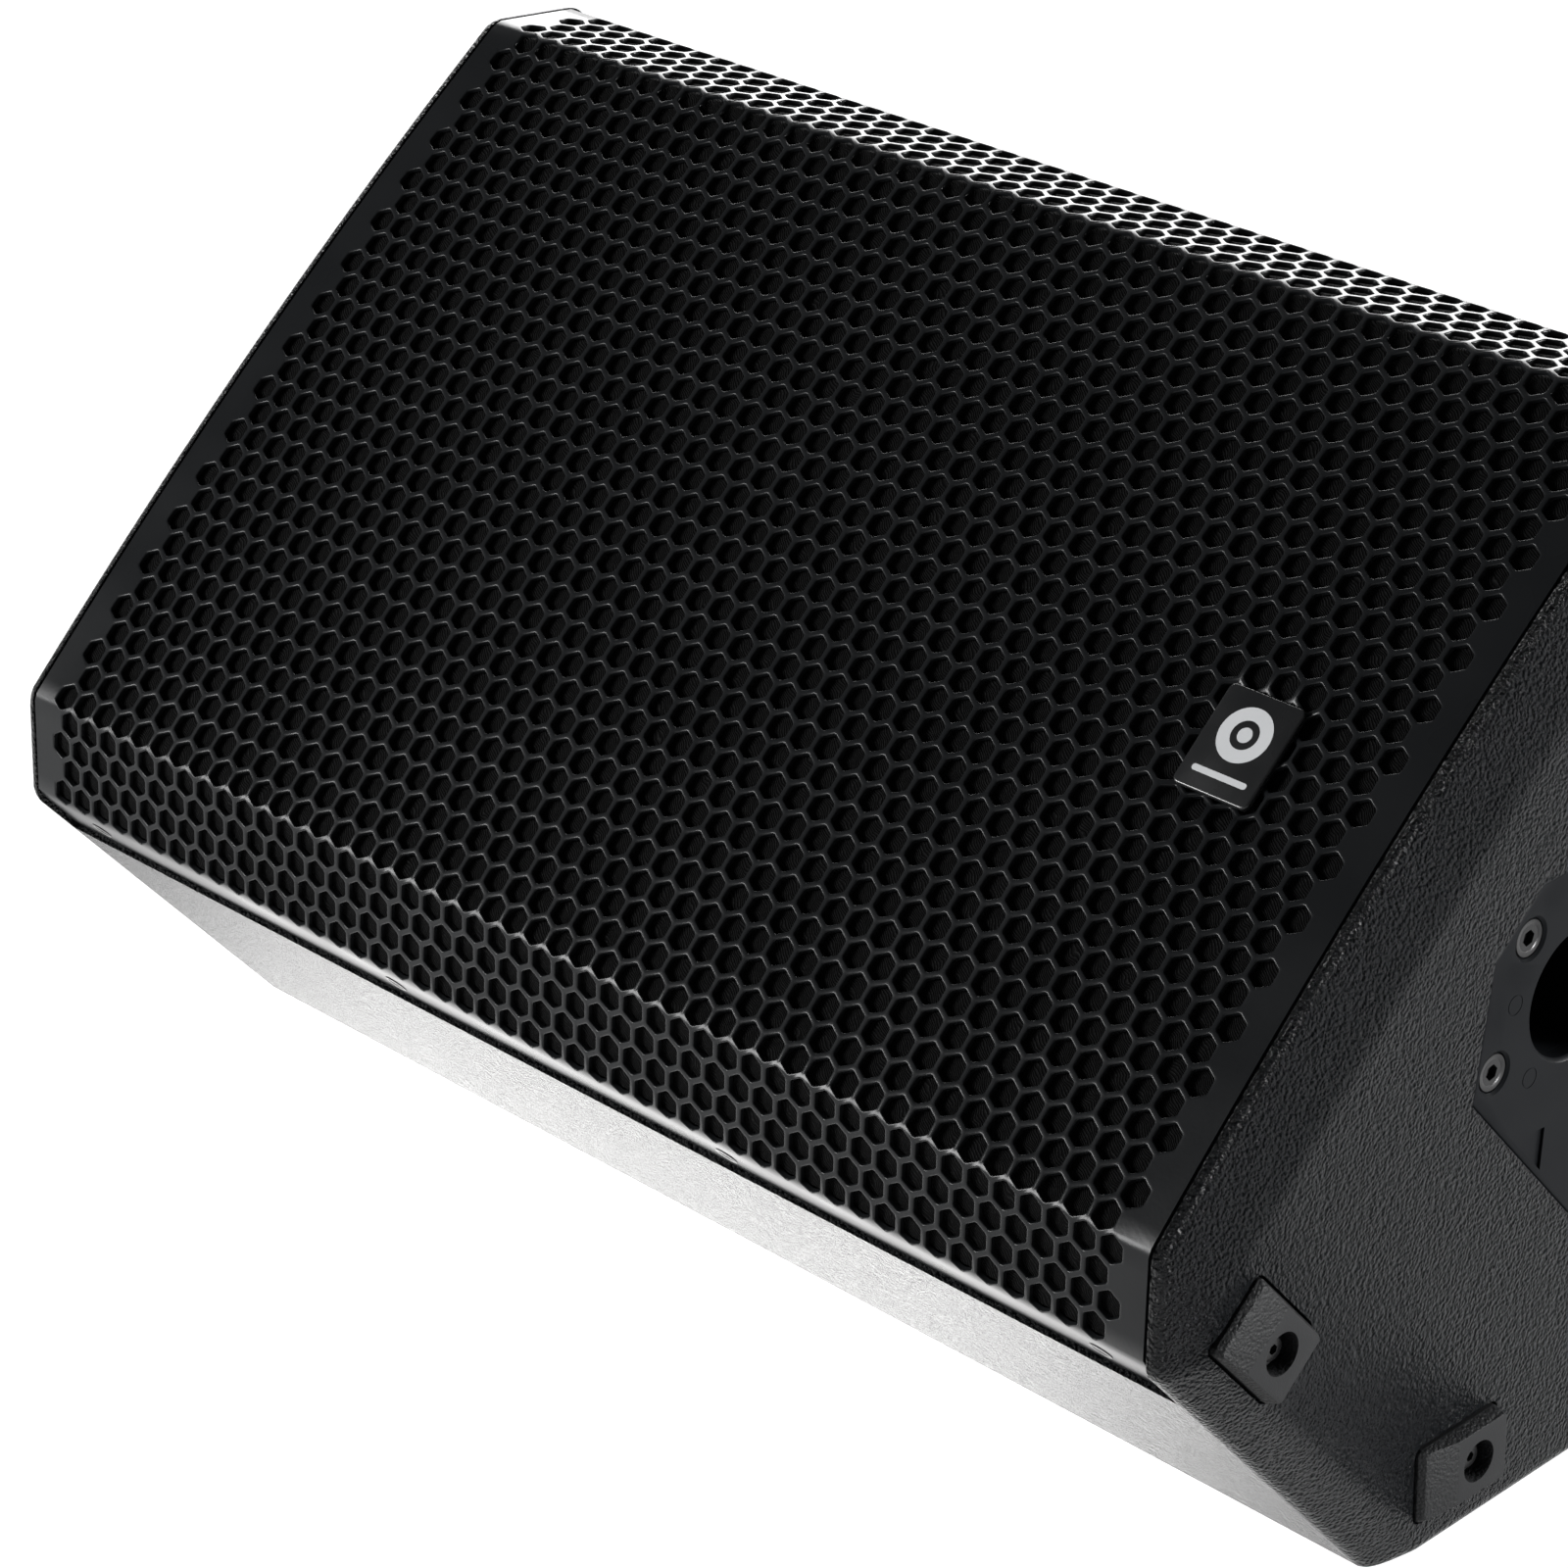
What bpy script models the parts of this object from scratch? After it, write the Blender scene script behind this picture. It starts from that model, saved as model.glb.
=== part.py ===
"""Stage monitor wedge: a coaxial powered floor monitor, built as separate pieces.

Frame: metres, +Z up, +X along the width, the grille faces -Y and up.
The origin is on the floor, under the middle of the cabinet.
"""

from math import cos, pi, radians, sin, tan

import bmesh
import bpy
from mathutils import Euler, Vector

# Driving dimensions, in metres and degrees.
TILT = radians(40.0)          # the grille plane, measured from the floor
HALF_WIDTH = 0.2320           # centre to the outer face of a side panel
HALF_HEIGHT = 0.1475          # centre of the front to the top or under panel
DEPTH = 0.1600                # front plane to the base edge, square to the grille
ARC_HALF = 0.1246             # half of the bowed front, up to its fold
BOW = 0.0048                  # how far the fold lies behind the front's centre
FACET_SLOPE = radians(46.8)   # angle of the end facets to the front
ARC_STEPS = 8
WOOD = 0.015                  # plywood thickness
GAP = 0.0003                  # clearance between touching pieces
MITRE_GAP = 0.00015
BEYOND = 0.020                # how far a cutter runs past the piece it cuts
FOOT_HEIGHT = 0.005

# Sheet grille.
SHEET = 0.0015
GRILLE_HALF_WIDTH = 0.2213
GRILLE_SIDE_GAP = 0.0010
FLANGE_U = 0.1458
FLANGE_END = 0.0476
FOAM_THICKNESS = 0.005
FOAM_HALF_WIDTH = 0.2165
BAFFLE_FRONT = 0.033
REBATE_END = 0.0482
GRILLE_SCREW_X = (-0.2010, -0.0670, 0.0670, 0.2010)
GRILLE_SCREW_V = 0.0385

# Wide chamfer of the side panels: run across the width, and set-back on each edge.
CHAMFER_RUN = 0.0067
CHAMFER_FRONT = 0.0225
CHAMFER_FACET = 0.0150
CHAMFER_UNDER = 0.0120
CHAMFER_BASE = 0.0040

# Pole plate on the right side.
POLE_BORE = 0.0180
POLE_WALL = 0.0022
POLE_DEPTH = 0.080
POLE_V = 0.0907
POLE_SPACING = 0.045
POLE_TILT = radians(7.0)
PLATE_THICKNESS = 0.005
PLATE_HALF_SHORT = 0.0117
PLATE_HALF_LONG = 0.0416
PLATE_START = 0.0517
PLATE_SHOULDER = 0.0765
POLE_SCREWS = ((0.0, 0.0532), (0.0314, 0.0355))

# Bar handle on the left side.
HANDLE_HALF = (0.060, 0.034)
HANDLE_DEPTH = 0.046
HANDLE_WALL = 0.0025
HANDLE_LIP = 0.009
HANDLE_BAR = (0.0070, 0.0110)
HANDLE_BAR_DROP = 0.0060

# Side feet: the places are (depth behind the front, height up the face, turn).
SIDE_FOOT_LENGTH = 0.0320
SIDE_FOOT_WIDTH = 0.0225
SIDE_FOOT_CORNER = 0.0030
SIDE_FOOT_SUNK = 0.0030
SIDE_FOOT_PROUD = 0.0040
SIDE_FOOT_THIN_END = 0.0016   # how far the sloping end stands proud
SIDE_FOOT_FOLD = -0.0035      # where the slope starts, from the middle of the foot
SIDE_FOOT_BORE = 0.0060
SIDE_FOOT_BORE_PLACE = 0.0048
SIDE_FOOT_BORE_FLOOR = -0.0005
SIDE_FOOT_POCKET_GAP = 0.0008
SIDE_FEET = (
    (0.05025, -0.1235, 0.0),
    (0.05025, 0.1235, 0.0),
    (0.15809, -0.11151, pi / 2 - TILT),
    (0.15809, 0.11151, TILT - pi / 2),
)

# Feet under the base: radii, recess depth and the inset of their centres.
BASE_FOOT_RADIUS = 0.014
BASE_FOOT_BORE = 0.0055
BASE_FOOT_SKIN = 0.0018
BASE_FOOT_EDGE = 0.0015
BASE_FOOT_X = 0.190
BASE_FOOT_INSET = 0.024

# Coaxial driver: radii, and depths measured from the front of the baffle.
DRIVER_CUTOUT = 0.1180
FLANGE_RADIUS = 0.1290
CONE_RADIUS = 0.0978
COIL_RADIUS = 0.0375
PORT_RADIUS = 0.0300
PORT_X = 0.1720
PORT_Y = 0.0800
PORT_LENGTH = 0.090

# Turned profiles of the driver: (radius, distance in front of the baffle), each a closed ring.
LIP = 0.0043                  # where the surround's lip lies
SKIN = 0.0010                 # thickness of the surround
SURROUND_ROLL_END = 0.1120
SURROUND_LIP_END = 0.1190
SURROUND_LIP_START = 0.1115
ROLL_STEPS = 6
BASKET_PROFILE = (
    (FLANGE_RADIUS, 0.0040), (0.1120, 0.0040), (0.1120, -0.0055), (0.0740, -0.0630),
    (0.0420, -0.0630), (0.0420, -0.0660), (0.0780, -0.0660), (0.1165, -0.0075),
    (0.1165, GAP), (FLANGE_RADIUS, GAP),
)
BASKET_WINDOWS = 6
BASKET_WINDOW = ((0.070, -0.034, -0.050), (0.130, 0.034, -0.014))
TRIM_PROFILE = ((FLANGE_RADIUS, LIP), (FLANGE_RADIUS, 0.0080), (0.1195, 0.0080), (0.1195, LIP))
CONE_PROFILE = (
    (CONE_RADIUS, 0.0053), (CONE_RADIUS, 0.0040), (0.0700, -0.0215), (0.0386, -0.0460),
    (0.0386, -0.0440), (0.0700, -0.0192), (0.0955, 0.0053),
)
SPIDER_PROFILE = (
    (0.0803, -0.0520), (0.0803, -0.0510), (0.0700, -0.0495), (0.0600, -0.0525),
    (0.0500, -0.0495), (0.0400, -0.0510), (0.0388, -0.0510), (0.0388, -0.0520),
    (0.0400, -0.0520), (0.0500, -0.0505), (0.0600, -0.0535), (0.0700, -0.0505),
)
COIL_PROFILE = (
    (0.0383, -0.0420), (0.0372, -0.0420), (0.0372, -0.0780), (0.0385, -0.0780),
    (0.0385, -0.0640), (0.0383, -0.0638),
)
TOP_PLATE_PROFILE = ((0.0720, -0.0663), (0.0393, -0.0663), (0.0393, -0.0743), (0.0720, -0.0743))
MAGNET_PROFILE = ((0.0750, -0.0746), (0.0450, -0.0746), (0.0450, -0.0946), (0.0750, -0.0946))
YOKE_PROFILE = (
    (0.0720, -0.0949), (0.0358, -0.0949), (0.0358, -0.0660), (0.0130, -0.0660),
    (0.0130, -0.1049), (0.0720, -0.1049),
)
HORN_PROFILE = (
    (0.0180, -0.0657), (0.0180, -0.0520), (0.0245, -0.0380), (0.0350, -0.0270),
    (0.0350, -0.0250), (0.0330, -0.0250), (0.0220, -0.0360), (0.0150, -0.0500),
    (0.0129, -0.0657),
)
HOUSING_PROFILE = (
    (0.0, -0.1380), (0.0400, -0.1380), (0.0420, -0.1360), (0.0420, -0.1052),
    (0.0130, -0.1052), (0.0130, -0.1100), (0.0300, -0.1100), (0.0300, -0.1300), (0.0, -0.1300),
)
DOME_PROFILE = (
    (0.0, -0.1160), (0.0120, -0.1175), (0.0220, -0.1205), (0.0280, -0.1215),
    (0.0280, -0.1208), (0.0220, -0.1197), (0.0120, -0.1167), (0.0, -0.1152),
)
PORT_PROFILE = (
    (0.0360, GAP), (0.0355, 0.0025), (0.0330, 0.0025), (PORT_RADIUS, -0.0010),
    (PORT_RADIUS, -PORT_LENGTH), (PORT_RADIUS + 0.0020, -PORT_LENGTH), (PORT_RADIUS + 0.0020, GAP),
)
PORT_CLEARANCE = 0.0023
DAMPING_PAD = (0.150, 0.015, (-0.148, -0.060))   # half width, thickness, from and to in depth

# Small turned pieces: (radius, height above the seat).
GRILLE_SCREW_PROFILE = (
    (0.0, -0.0110), (0.0017, -0.0110), (0.0017, GAP), (0.0038, GAP),
    (0.0036, 0.0010), (0.0024, 0.0015), (0.0, 0.0015),
)
GRILLE_SCREW_HOLE = 0.0021
PLATE_SCREW_HOLE_PROFILE = (
    (0.0, -0.0100), (0.0033, -0.0100), (0.0033, -0.0037), (0.0062, 0.0), (0.0062, 0.0020),
    (0.0, 0.0020),
)
KNOB_PROFILE = (
    (0.0, -0.0080), (0.0030, -0.0080), (0.0030, 0.0008), (0.0066, 0.0008),
    (0.0060, 0.0108), (0.0054, 0.0114), (0.0, 0.0114),
)
KNOB_RIB = ((-0.0006, 0.0005, 0.0060), (0.0006, 0.0072, 0.0118))
LED_PROFILE = ((0.0, -0.0040), (0.0015, -0.0040), (0.0015, 0.0003), (0.0008, 0.0012), (0.0, 0.0015))
BADGE_HALF = (0.0124, 0.0151)
BADGE_X = 0.1672
BADGE_THICKNESS = 0.0016

# Amplifier tray on the rear panel.
TRAY_FLANGE = (0.178, 0.073)
TRAY_BODY = (0.163, 0.059)
TRAY_DISH = (0.160, 0.056)
TRAY_FLOOR = -0.014
TRAY_SKIN = 0.003
SOCKET_X = (0.010, 0.048)
LINK_X = 0.086
SOCKET_Y = 0.018
KNOB_X = (0.010, 0.042, 0.074)
KNOB_Y = -0.030
ROCKER_PLACE = (0.134, -0.028)
ROCKER_SWING = radians(8.0)
INLET_PLACE = (0.131, 0.022)
SLIDE_PLACE = (0.103, -0.032)
BUTTON_PLACE = (0.103, -0.012)
LED_PLACE = (0.090, -0.012)

FINE = 40
ROUND = 28
SMALL = 16
TINY = 12

MATERIALS = {
    "cabinet_paint": ((0.020, 0.021, 0.022), 0.62, 0.0),
    "grille_steel": ((0.012, 0.013, 0.015), 0.38, 0.6),
    "foam": ((0.012, 0.012, 0.012), 0.95, 0.0),
    "badge": ((0.015, 0.016, 0.017), 0.30, 0.0),
    "screw_black": ((0.018, 0.018, 0.018), 0.35, 0.9),
    "moulded_black": ((0.022, 0.023, 0.025), 0.42, 0.0),
    "rubber": ((0.017, 0.017, 0.018), 0.80, 0.0),
    "cast_alloy": ((0.10, 0.10, 0.11), 0.45, 0.9),
    "cone_paper": ((0.030, 0.029, 0.028), 0.85, 0.0),
    "coil_copper": ((0.60, 0.30, 0.16), 0.35, 0.9),
    "magnet_ferrite": ((0.06, 0.06, 0.065), 0.60, 0.1),
    "plated_steel": ((0.55, 0.55, 0.52), 0.30, 1.0),
    "spider_cloth": ((0.42, 0.27, 0.10), 0.90, 0.0),
    "titanium": ((0.45, 0.45, 0.47), 0.30, 1.0),
    "wool": ((0.30, 0.30, 0.30), 0.95, 0.0),
    "panel_alloy": ((0.025, 0.026, 0.028), 0.45, 0.5),
    "board": ((0.03, 0.16, 0.07), 0.50, 0.0),
    "supply_case": ((0.50, 0.50, 0.50), 0.40, 0.8),
    "socket_plastic": ((0.020, 0.020, 0.022), 0.50, 0.0),
    "control_plastic": ((0.030, 0.030, 0.032), 0.55, 0.0),
    "rocker_plastic": ((0.30, 0.02, 0.02), 0.35, 0.0),
    "led_lens": ((0.05, 0.45, 0.10), 0.20, 0.0),
}


def clear_scene():
    for obj in list(bpy.data.objects):
        bpy.data.objects.remove(obj)


def material(slot):
    found = bpy.data.materials.get(slot)
    if found:
        return found
    colour, roughness, metallic = MATERIALS[slot]
    made = bpy.data.materials.new(slot)
    made.use_nodes = True
    shader = made.node_tree.nodes["Principled BSDF"]
    shader.inputs["Base Color"].default_value = (*colour, 1.0)
    shader.inputs["Roughness"].default_value = roughness
    shader.inputs["Metallic"].default_value = metallic
    return made


# Frames: empties that hold the pieces of one face.

def frame(name, parent=None, place=(0.0, 0.0, 0.0), turn=(0.0, 0.0, 0.0)):
    empty = bpy.data.objects.new(name, None)
    bpy.context.collection.objects.link(empty)
    empty.parent = parent
    empty.location = place
    empty.rotation_euler = Euler(turn)
    return empty


# Object helpers.

def make(name, bm, slot, parent, place=(0.0, 0.0, 0.0), turn=(0.0, 0.0, 0.0)):
    """One named piece from a bmesh, with its own material."""
    bmesh.ops.recalc_face_normals(bm, faces=bm.faces)
    mesh = bpy.data.meshes.new(name)
    bm.to_mesh(mesh)
    bm.free()
    mesh.shade_smooth()
    mesh.set_sharp_from_angle(angle=radians(30.0))
    obj = bpy.data.objects.new(name, mesh)
    bpy.context.collection.objects.link(obj)
    obj.parent = parent
    obj.location = place
    obj.rotation_euler = Euler(turn)
    if slot:
        mesh.materials.append(material(slot))
    return obj


def guide(name, bm, parent, place=(0.0, 0.0, 0.0), turn=(0.0, 0.0, 0.0)):
    """A hidden shape that cuts or joins another."""
    obj = make(name, bm, None, parent, place, turn)
    obj.hide_render = True
    obj.display_type = "WIRE"
    return obj


def combine(obj, other, operation):
    step = obj.modifiers.new(other.name, "BOOLEAN")
    step.operation = operation
    step.solver = "EXACT"
    step.object = other


def cut(obj, other):
    combine(obj, other, "DIFFERENCE")


def join(obj, other):
    combine(obj, other, "UNION")


# Shapes.

def box(low, high):
    bm = bmesh.new()
    bmesh.ops.create_cube(bm, size=1.0)
    size = [b - a for a, b in zip(low, high)]
    middle = [(a + b) / 2 for a, b in zip(low, high)]
    bmesh.ops.scale(bm, vec=size, verts=bm.verts)
    bmesh.ops.translate(bm, vec=middle, verts=bm.verts)
    return bm


def prism(outline, low, high, axis="X"):
    """A flat outline pushed along an axis from low to high."""
    place = {
        "X": lambda a, b, t: (t, a, b),
        "Y": lambda a, b, t: (b, t, a),
        "Z": lambda a, b, t: (a, b, t),
    }[axis]
    bm = bmesh.new()
    rings = []
    for level in (low, high):
        rings.append([bm.verts.new(place(a, b, level)) for a, b in outline])
    bm.faces.new(list(reversed(rings[0])))
    bm.faces.new(rings[1])
    count = len(outline)
    for i in range(count):
        j = (i + 1) % count
        bm.faces.new((rings[0][i], rings[0][j], rings[1][j], rings[1][i]))
    return bm


def loft(sections):
    """Rings of the same number of points, joined one after another and capped."""
    bm = bmesh.new()
    rings = [[bm.verts.new(point) for point in section] for section in sections]
    bm.faces.new(list(reversed(rings[0])))
    bm.faces.new(rings[-1])
    for low, high in zip(rings, rings[1:]):
        for i in range(len(low)):
            j = (i + 1) % len(low)
            bm.faces.new((low[i], low[j], high[j], high[i]))
    return bm


def turned(profile, steps, closed=True):
    """A profile of (radius, height) points spun about Z. An open one ends on the axis."""
    bm = bmesh.new()
    verts = [bm.verts.new((radius, 0.0, height)) for radius, height in profile]
    edges = [bm.edges.new(pair) for pair in zip(verts, verts[1:])]
    if closed:
        edges.append(bm.edges.new((verts[-1], verts[0])))
    bmesh.ops.spin(
        bm, geom=verts + edges, cent=(0.0, 0.0, 0.0), axis=(0.0, 0.0, 1.0),
        angle=2 * pi, steps=steps, use_merge=True,
    )
    bmesh.ops.remove_doubles(bm, verts=bm.verts, dist=1e-6)
    return bm


def rod(radius, low, high, steps=SMALL):
    return turned([(0.0, low), (radius, low), (radius, high), (0.0, high)], steps, closed=False)


def octagon(half_x, half_y, corner):
    """A rectangle with its corners cut off."""
    return [
        (half_x - corner, -half_y), (half_x, -half_y + corner),
        (half_x, half_y - corner), (half_x - corner, half_y),
        (-half_x + corner, half_y), (-half_x, half_y - corner),
        (-half_x, -half_y + corner), (-half_x + corner, -half_y),
    ]


# Outlines of the cabinet, as (y, z) in the face frame: y up the face, z out of it.

def offset_outline(points, distances):
    """Each edge of an anticlockwise outline moved in by its own distance."""
    count = len(points)
    lines = []
    for i in range(count):
        a = Vector(points[i])
        along = (Vector(points[(i + 1) % count]) - a).normalized()
        inward = Vector((-along.y, along.x))
        lines.append((a + inward * distances[i], along))
    moved = []
    for i in range(count):
        a, da = lines[i - 1]
        b, db = lines[i]
        cross = da.x * db.y - da.y * db.x
        step = ((b.x - a.x) * db.y - (b.y - a.y) * db.x) / cross
        moved.append(tuple(a + da * step))
    return moved


def front_arc(steps=ARC_STEPS):
    """The bowed front, from the top fold down to the bottom fold."""
    points = []
    for i in range(steps + 1):
        y = ARC_HALF * (1 - 2 * i / steps)
        points.append((y, -BOW * (y / ARC_HALF) ** 2))
    return points


def facet_depth(half_height):
    """Depth behind the front plane where the end facet reaches a height."""
    return BOW + (half_height - ARC_HALF) * tan(FACET_SLOPE)


def cabinet_outline():
    """Anticlockwise from the lower end of the bottom facet."""
    shoulder = -facet_depth(HALF_HEIGHT)
    apex = -(DEPTH + HALF_HEIGHT * tan(TILT))
    shell = [
        (-HALF_HEIGHT, shoulder), (-HALF_HEIGHT, -DEPTH), (0.0, apex),
        (HALF_HEIGHT, -DEPTH), (HALF_HEIGHT, shoulder),
    ]
    return shell + front_arc()


def inner_corners():
    """Inner corners of the plywood shell: under and base, base and rear, rear and top."""
    outline = cabinet_outline()
    inner = offset_outline(outline, [WOOD] * len(outline))
    return inner[1], inner[2], inner[3]


# Cabinet.

def side_panel(name, side, parent):
    outline = cabinet_outline()
    setbacks = [CHAMFER_UNDER, CHAMFER_BASE, CHAMFER_BASE, CHAMFER_UNDER, CHAMFER_FACET]
    setbacks += [CHAMFER_FRONT] * ARC_STEPS + [CHAMFER_FACET]
    face = offset_outline(outline, setbacks)
    inner = HALF_WIDTH - WOOD
    levels = ((inner, outline), (HALF_WIDTH - CHAMFER_RUN, outline), (HALF_WIDTH, face))
    sections = [[(side * x, y, z) for y, z in ring] for x, ring in levels]
    panel = make(name, loft(sections), "cabinet_paint", parent)
    pocket = GRILLE_HALF_WIDTH + GRILLE_SIDE_GAP
    past = 0.010
    flange_floor = FLANGE_U - SHEET - 2 * GAP
    spans = (
        (-HALF_HEIGHT - past, HALF_HEIGHT + past, -BAFFLE_FRONT),
        (-HALF_HEIGHT - past, -flange_floor, -REBATE_END),
        (flange_floor, HALF_HEIGHT + past, -REBATE_END),
    )
    for number, (low_y, high_y, low_z) in enumerate(spans):
        ends = sorted((side * (inner - past), side * pocket))
        shape = box((ends[0], low_y, low_z), (ends[1], high_y, past))
        cut(panel, guide(f"{name}_pocket_{number}", shape, parent))
    return panel


def shell_panel(name, outline, parent):
    half = HALF_WIDTH - WOOD - GAP
    return make(name, prism(outline, -half, half), "cabinet_paint", parent)


def front_edge_outline(inner_corner):
    """The under panel's section: the grille flange sits in the step at its front."""
    floor = FLANGE_U - SHEET - GAP
    return [
        (-floor, -BAFFLE_FRONT), (-floor, -REBATE_END), (-HALF_HEIGHT, -REBATE_END),
        (-HALF_HEIGHT, -DEPTH), inner_corner, (inner_corner[0], -BAFFLE_FRONT),
    ]


def under_panel(parent):
    corner = inner_corners()[0]
    outline = front_edge_outline(corner)
    outline = offset_outline(outline, [0.0, 0.0, 0.0, MITRE_GAP, 0.0, 0.0])
    panel = shell_panel("under_panel", outline, parent)
    screw_holes(panel, "under_panel_hole", parent)
    return panel


def top_panel(parent):
    corner = inner_corners()[0]
    outline = front_edge_outline(corner)
    outline = offset_outline(outline, [0.0, 0.0, 0.0, MITRE_GAP, 0.0, 0.0])
    mirrored = [(-y, z) for y, z in reversed(outline)]
    return shell_panel("top_panel", mirrored, parent)


def screw_holes(obj, name, parent):
    """Holes for the screws along the lower flange."""
    for number, x in enumerate(GRILLE_SCREW_X):
        hole = rod(GRILLE_SCREW_HOLE, -0.004, 0.014, TINY)
        place = (x, -FLANGE_U, -GRILLE_SCREW_V)
        cut(obj, guide(f"{name}_{number}", hole, parent, place, (-pi / 2, 0.0, 0.0)))


def base_panel(parent):
    outline = cabinet_outline()
    corner, apex, _ = inner_corners()
    section = [outline[1], outline[2], apex, corner]
    section = offset_outline(section, [0.0, MITRE_GAP, 0.0, MITRE_GAP])
    return shell_panel("base_panel", section, parent)


def rear_panel(parent, rear):
    outline = cabinet_outline()
    _, apex, corner = inner_corners()
    section = [outline[2], outline[3], corner, apex]
    section = offset_outline(section, [0.0, MITRE_GAP, 0.0, MITRE_GAP])
    panel = shell_panel("rear_panel", section, parent)
    half_x = TRAY_BODY[0] + GAP
    half_y = TRAY_BODY[1] + GAP
    window = box((-half_x, -half_y, -0.030), (half_x, half_y, 0.010))
    cut(panel, guide("rear_window", window, rear))
    return panel


def baffle_board(parent):
    half_y = HALF_HEIGHT - WOOD - GAP
    half_x = HALF_WIDTH - WOOD - GAP
    back = -(BAFFLE_FRONT + WOOD)
    board = make("baffle_board", box((-half_x, -half_y, back), (half_x, half_y, -BAFFLE_FRONT)),
                 "cabinet_paint", parent)
    hole = rod(DRIVER_CUTOUT, back - 0.01, 0.01, FINE)
    cut(board, guide("driver_cutout", hole, parent))
    for name, x in (("right", PORT_X), ("left", -PORT_X)):
        hole = rod(PORT_RADIUS + PORT_CLEARANCE, back - 0.01, 0.01, ROUND)
        cut(board, guide(f"port_cutout_{name}", hole, parent, (x, PORT_Y, 0.0)))
    return board


# Grille.

def sheet_line(inset):
    """The folded sheet's section at a distance behind its outer surface, top to bottom."""
    fold = (FLANGE_U, -facet_depth(FLANGE_U))
    top = [(FLANGE_U, -FLANGE_END), fold] + front_arc()
    line = top + [(-FLANGE_U, fold[1]), (-FLANGE_U, -FLANGE_END)]
    closed = line + [(0.0, -1.0)]
    moved = offset_outline(closed, [inset] * len(line) + [0.0])
    moved = moved[:len(line)]
    moved[0] = (moved[1][0], -FLANGE_END)
    moved[-1] = (moved[-2][0], -FLANGE_END)
    return moved


def grille_sheet(parent):
    outer = sheet_line(0.0)
    inner = sheet_line(SHEET)
    section = outer + list(reversed(inner))
    shape = prism(section, -GRILLE_HALF_WIDTH, GRILLE_HALF_WIDTH)
    sheet = make("grille_sheet", shape, "grille_steel", parent)
    screw_holes(sheet, "grille_hole", parent)
    return sheet


def grille_foam(parent):
    near = SHEET + 0.0006
    outer = sheet_line(near)[1:-1]
    inner = sheet_line(near + FOAM_THICKNESS)[1:-1]
    section = outer + list(reversed(inner))
    return make("grille_foam", prism(section, -FOAM_HALF_WIDTH, FOAM_HALF_WIDTH), "foam", parent)


def grille_screws(parent):
    for number, x in enumerate(GRILLE_SCREW_X, start=1):
        place = (x, -FLANGE_U, -GRILLE_SCREW_V)
        make(f"grille_screw_{number}", turned(GRILLE_SCREW_PROFILE, TINY, closed=False),
             "screw_black", parent, place, (pi / 2, 0.0, 0.0))


def badge_plate(parent):
    """A plain rounded plate near the right end; it holds no lettering."""
    outline = octagon(*BADGE_HALF, 0.0018)
    return make("badge_plate", prism(outline, GAP, BADGE_THICKNESS, "Z"), "badge", parent,
                (BADGE_X, 0.0, 0.0))


# Driver, in a frame at the front of the baffle.

def driver_basket(axis):
    basket = make("driver_basket", turned(BASKET_PROFILE, FINE), "cast_alloy", axis)
    for number in range(BASKET_WINDOWS):
        turn = 2 * pi * number / BASKET_WINDOWS
        window = box(*BASKET_WINDOW)
        cut(basket, guide(f"basket_window_{number}", window, axis, (0.0, 0.0, 0.0), (0.0, 0.0, turn)))
    return basket


def driver_trim(axis):
    return make("driver_trim_ring", turned(TRIM_PROFILE, FINE), "rubber", axis)


def woofer_surround(axis):
    """The half-roll edge: its outer lip lies on the basket's flange."""
    inner = CONE_RADIUS + GAP
    middle = (inner + SURROUND_ROLL_END) / 2
    roll = (SURROUND_ROLL_END - inner) / 2
    high = LIP + SKIN
    profile = [(SURROUND_LIP_END, LIP), (SURROUND_LIP_END, high), (SURROUND_ROLL_END, high)]
    for i in range(1, ROLL_STEPS):
        angle = pi * i / ROLL_STEPS
        profile.append((middle + roll * cos(angle), high + roll * sin(angle)))
    profile.append((inner, high))
    profile.append((inner, LIP))
    for i in range(ROLL_STEPS - 1, 0, -1):
        angle = pi * i / ROLL_STEPS
        radius = roll - SKIN
        profile.append((middle + radius * cos(angle), LIP + radius * sin(angle)))
    profile.append((SURROUND_LIP_START, LIP))
    return make("woofer_surround", turned(profile, FINE), "rubber", axis)


def woofer_cone(axis):
    return make("woofer_cone", turned(CONE_PROFILE, FINE), "cone_paper", axis)


def woofer_spider(axis):
    return make("woofer_spider", turned(SPIDER_PROFILE, FINE), "spider_cloth", axis)


def voice_coil(axis):
    return make("voice_coil", turned(COIL_PROFILE, FINE), "coil_copper", axis)


def motor(axis):
    make("motor_top_plate", turned(TOP_PLATE_PROFILE, FINE), "plated_steel", axis)
    make("magnet_ring", turned(MAGNET_PROFILE, FINE), "magnet_ferrite", axis)
    make("motor_back_plate", turned(YOKE_PROFILE, FINE), "plated_steel", axis)


def hf_section(axis):
    make("hf_horn", turned(HORN_PROFILE, ROUND), "moulded_black", axis)
    make("hf_housing", turned(HOUSING_PROFILE, ROUND, closed=False), "cast_alloy", axis)
    make("hf_diaphragm", turned(DOME_PROFILE, ROUND, closed=False), "titanium", axis)


def port_tube(name, x, axis):
    return make(name, turned(PORT_PROFILE, ROUND), "moulded_black", axis, (x, PORT_Y, 0.0))


def damping_pad(parent):
    top = HALF_HEIGHT - WOOD - GAP
    half_x, thick, (back, front) = DAMPING_PAD
    shape = box((-half_x, top - thick, back), (half_x, top, front))
    return make("damping_pad", shape, "wool", parent)


# Right side: pole plate, its two cups and the rubber feet.
# In a side frame x runs back from the front plane, y up the face and z out of the side.

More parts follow.
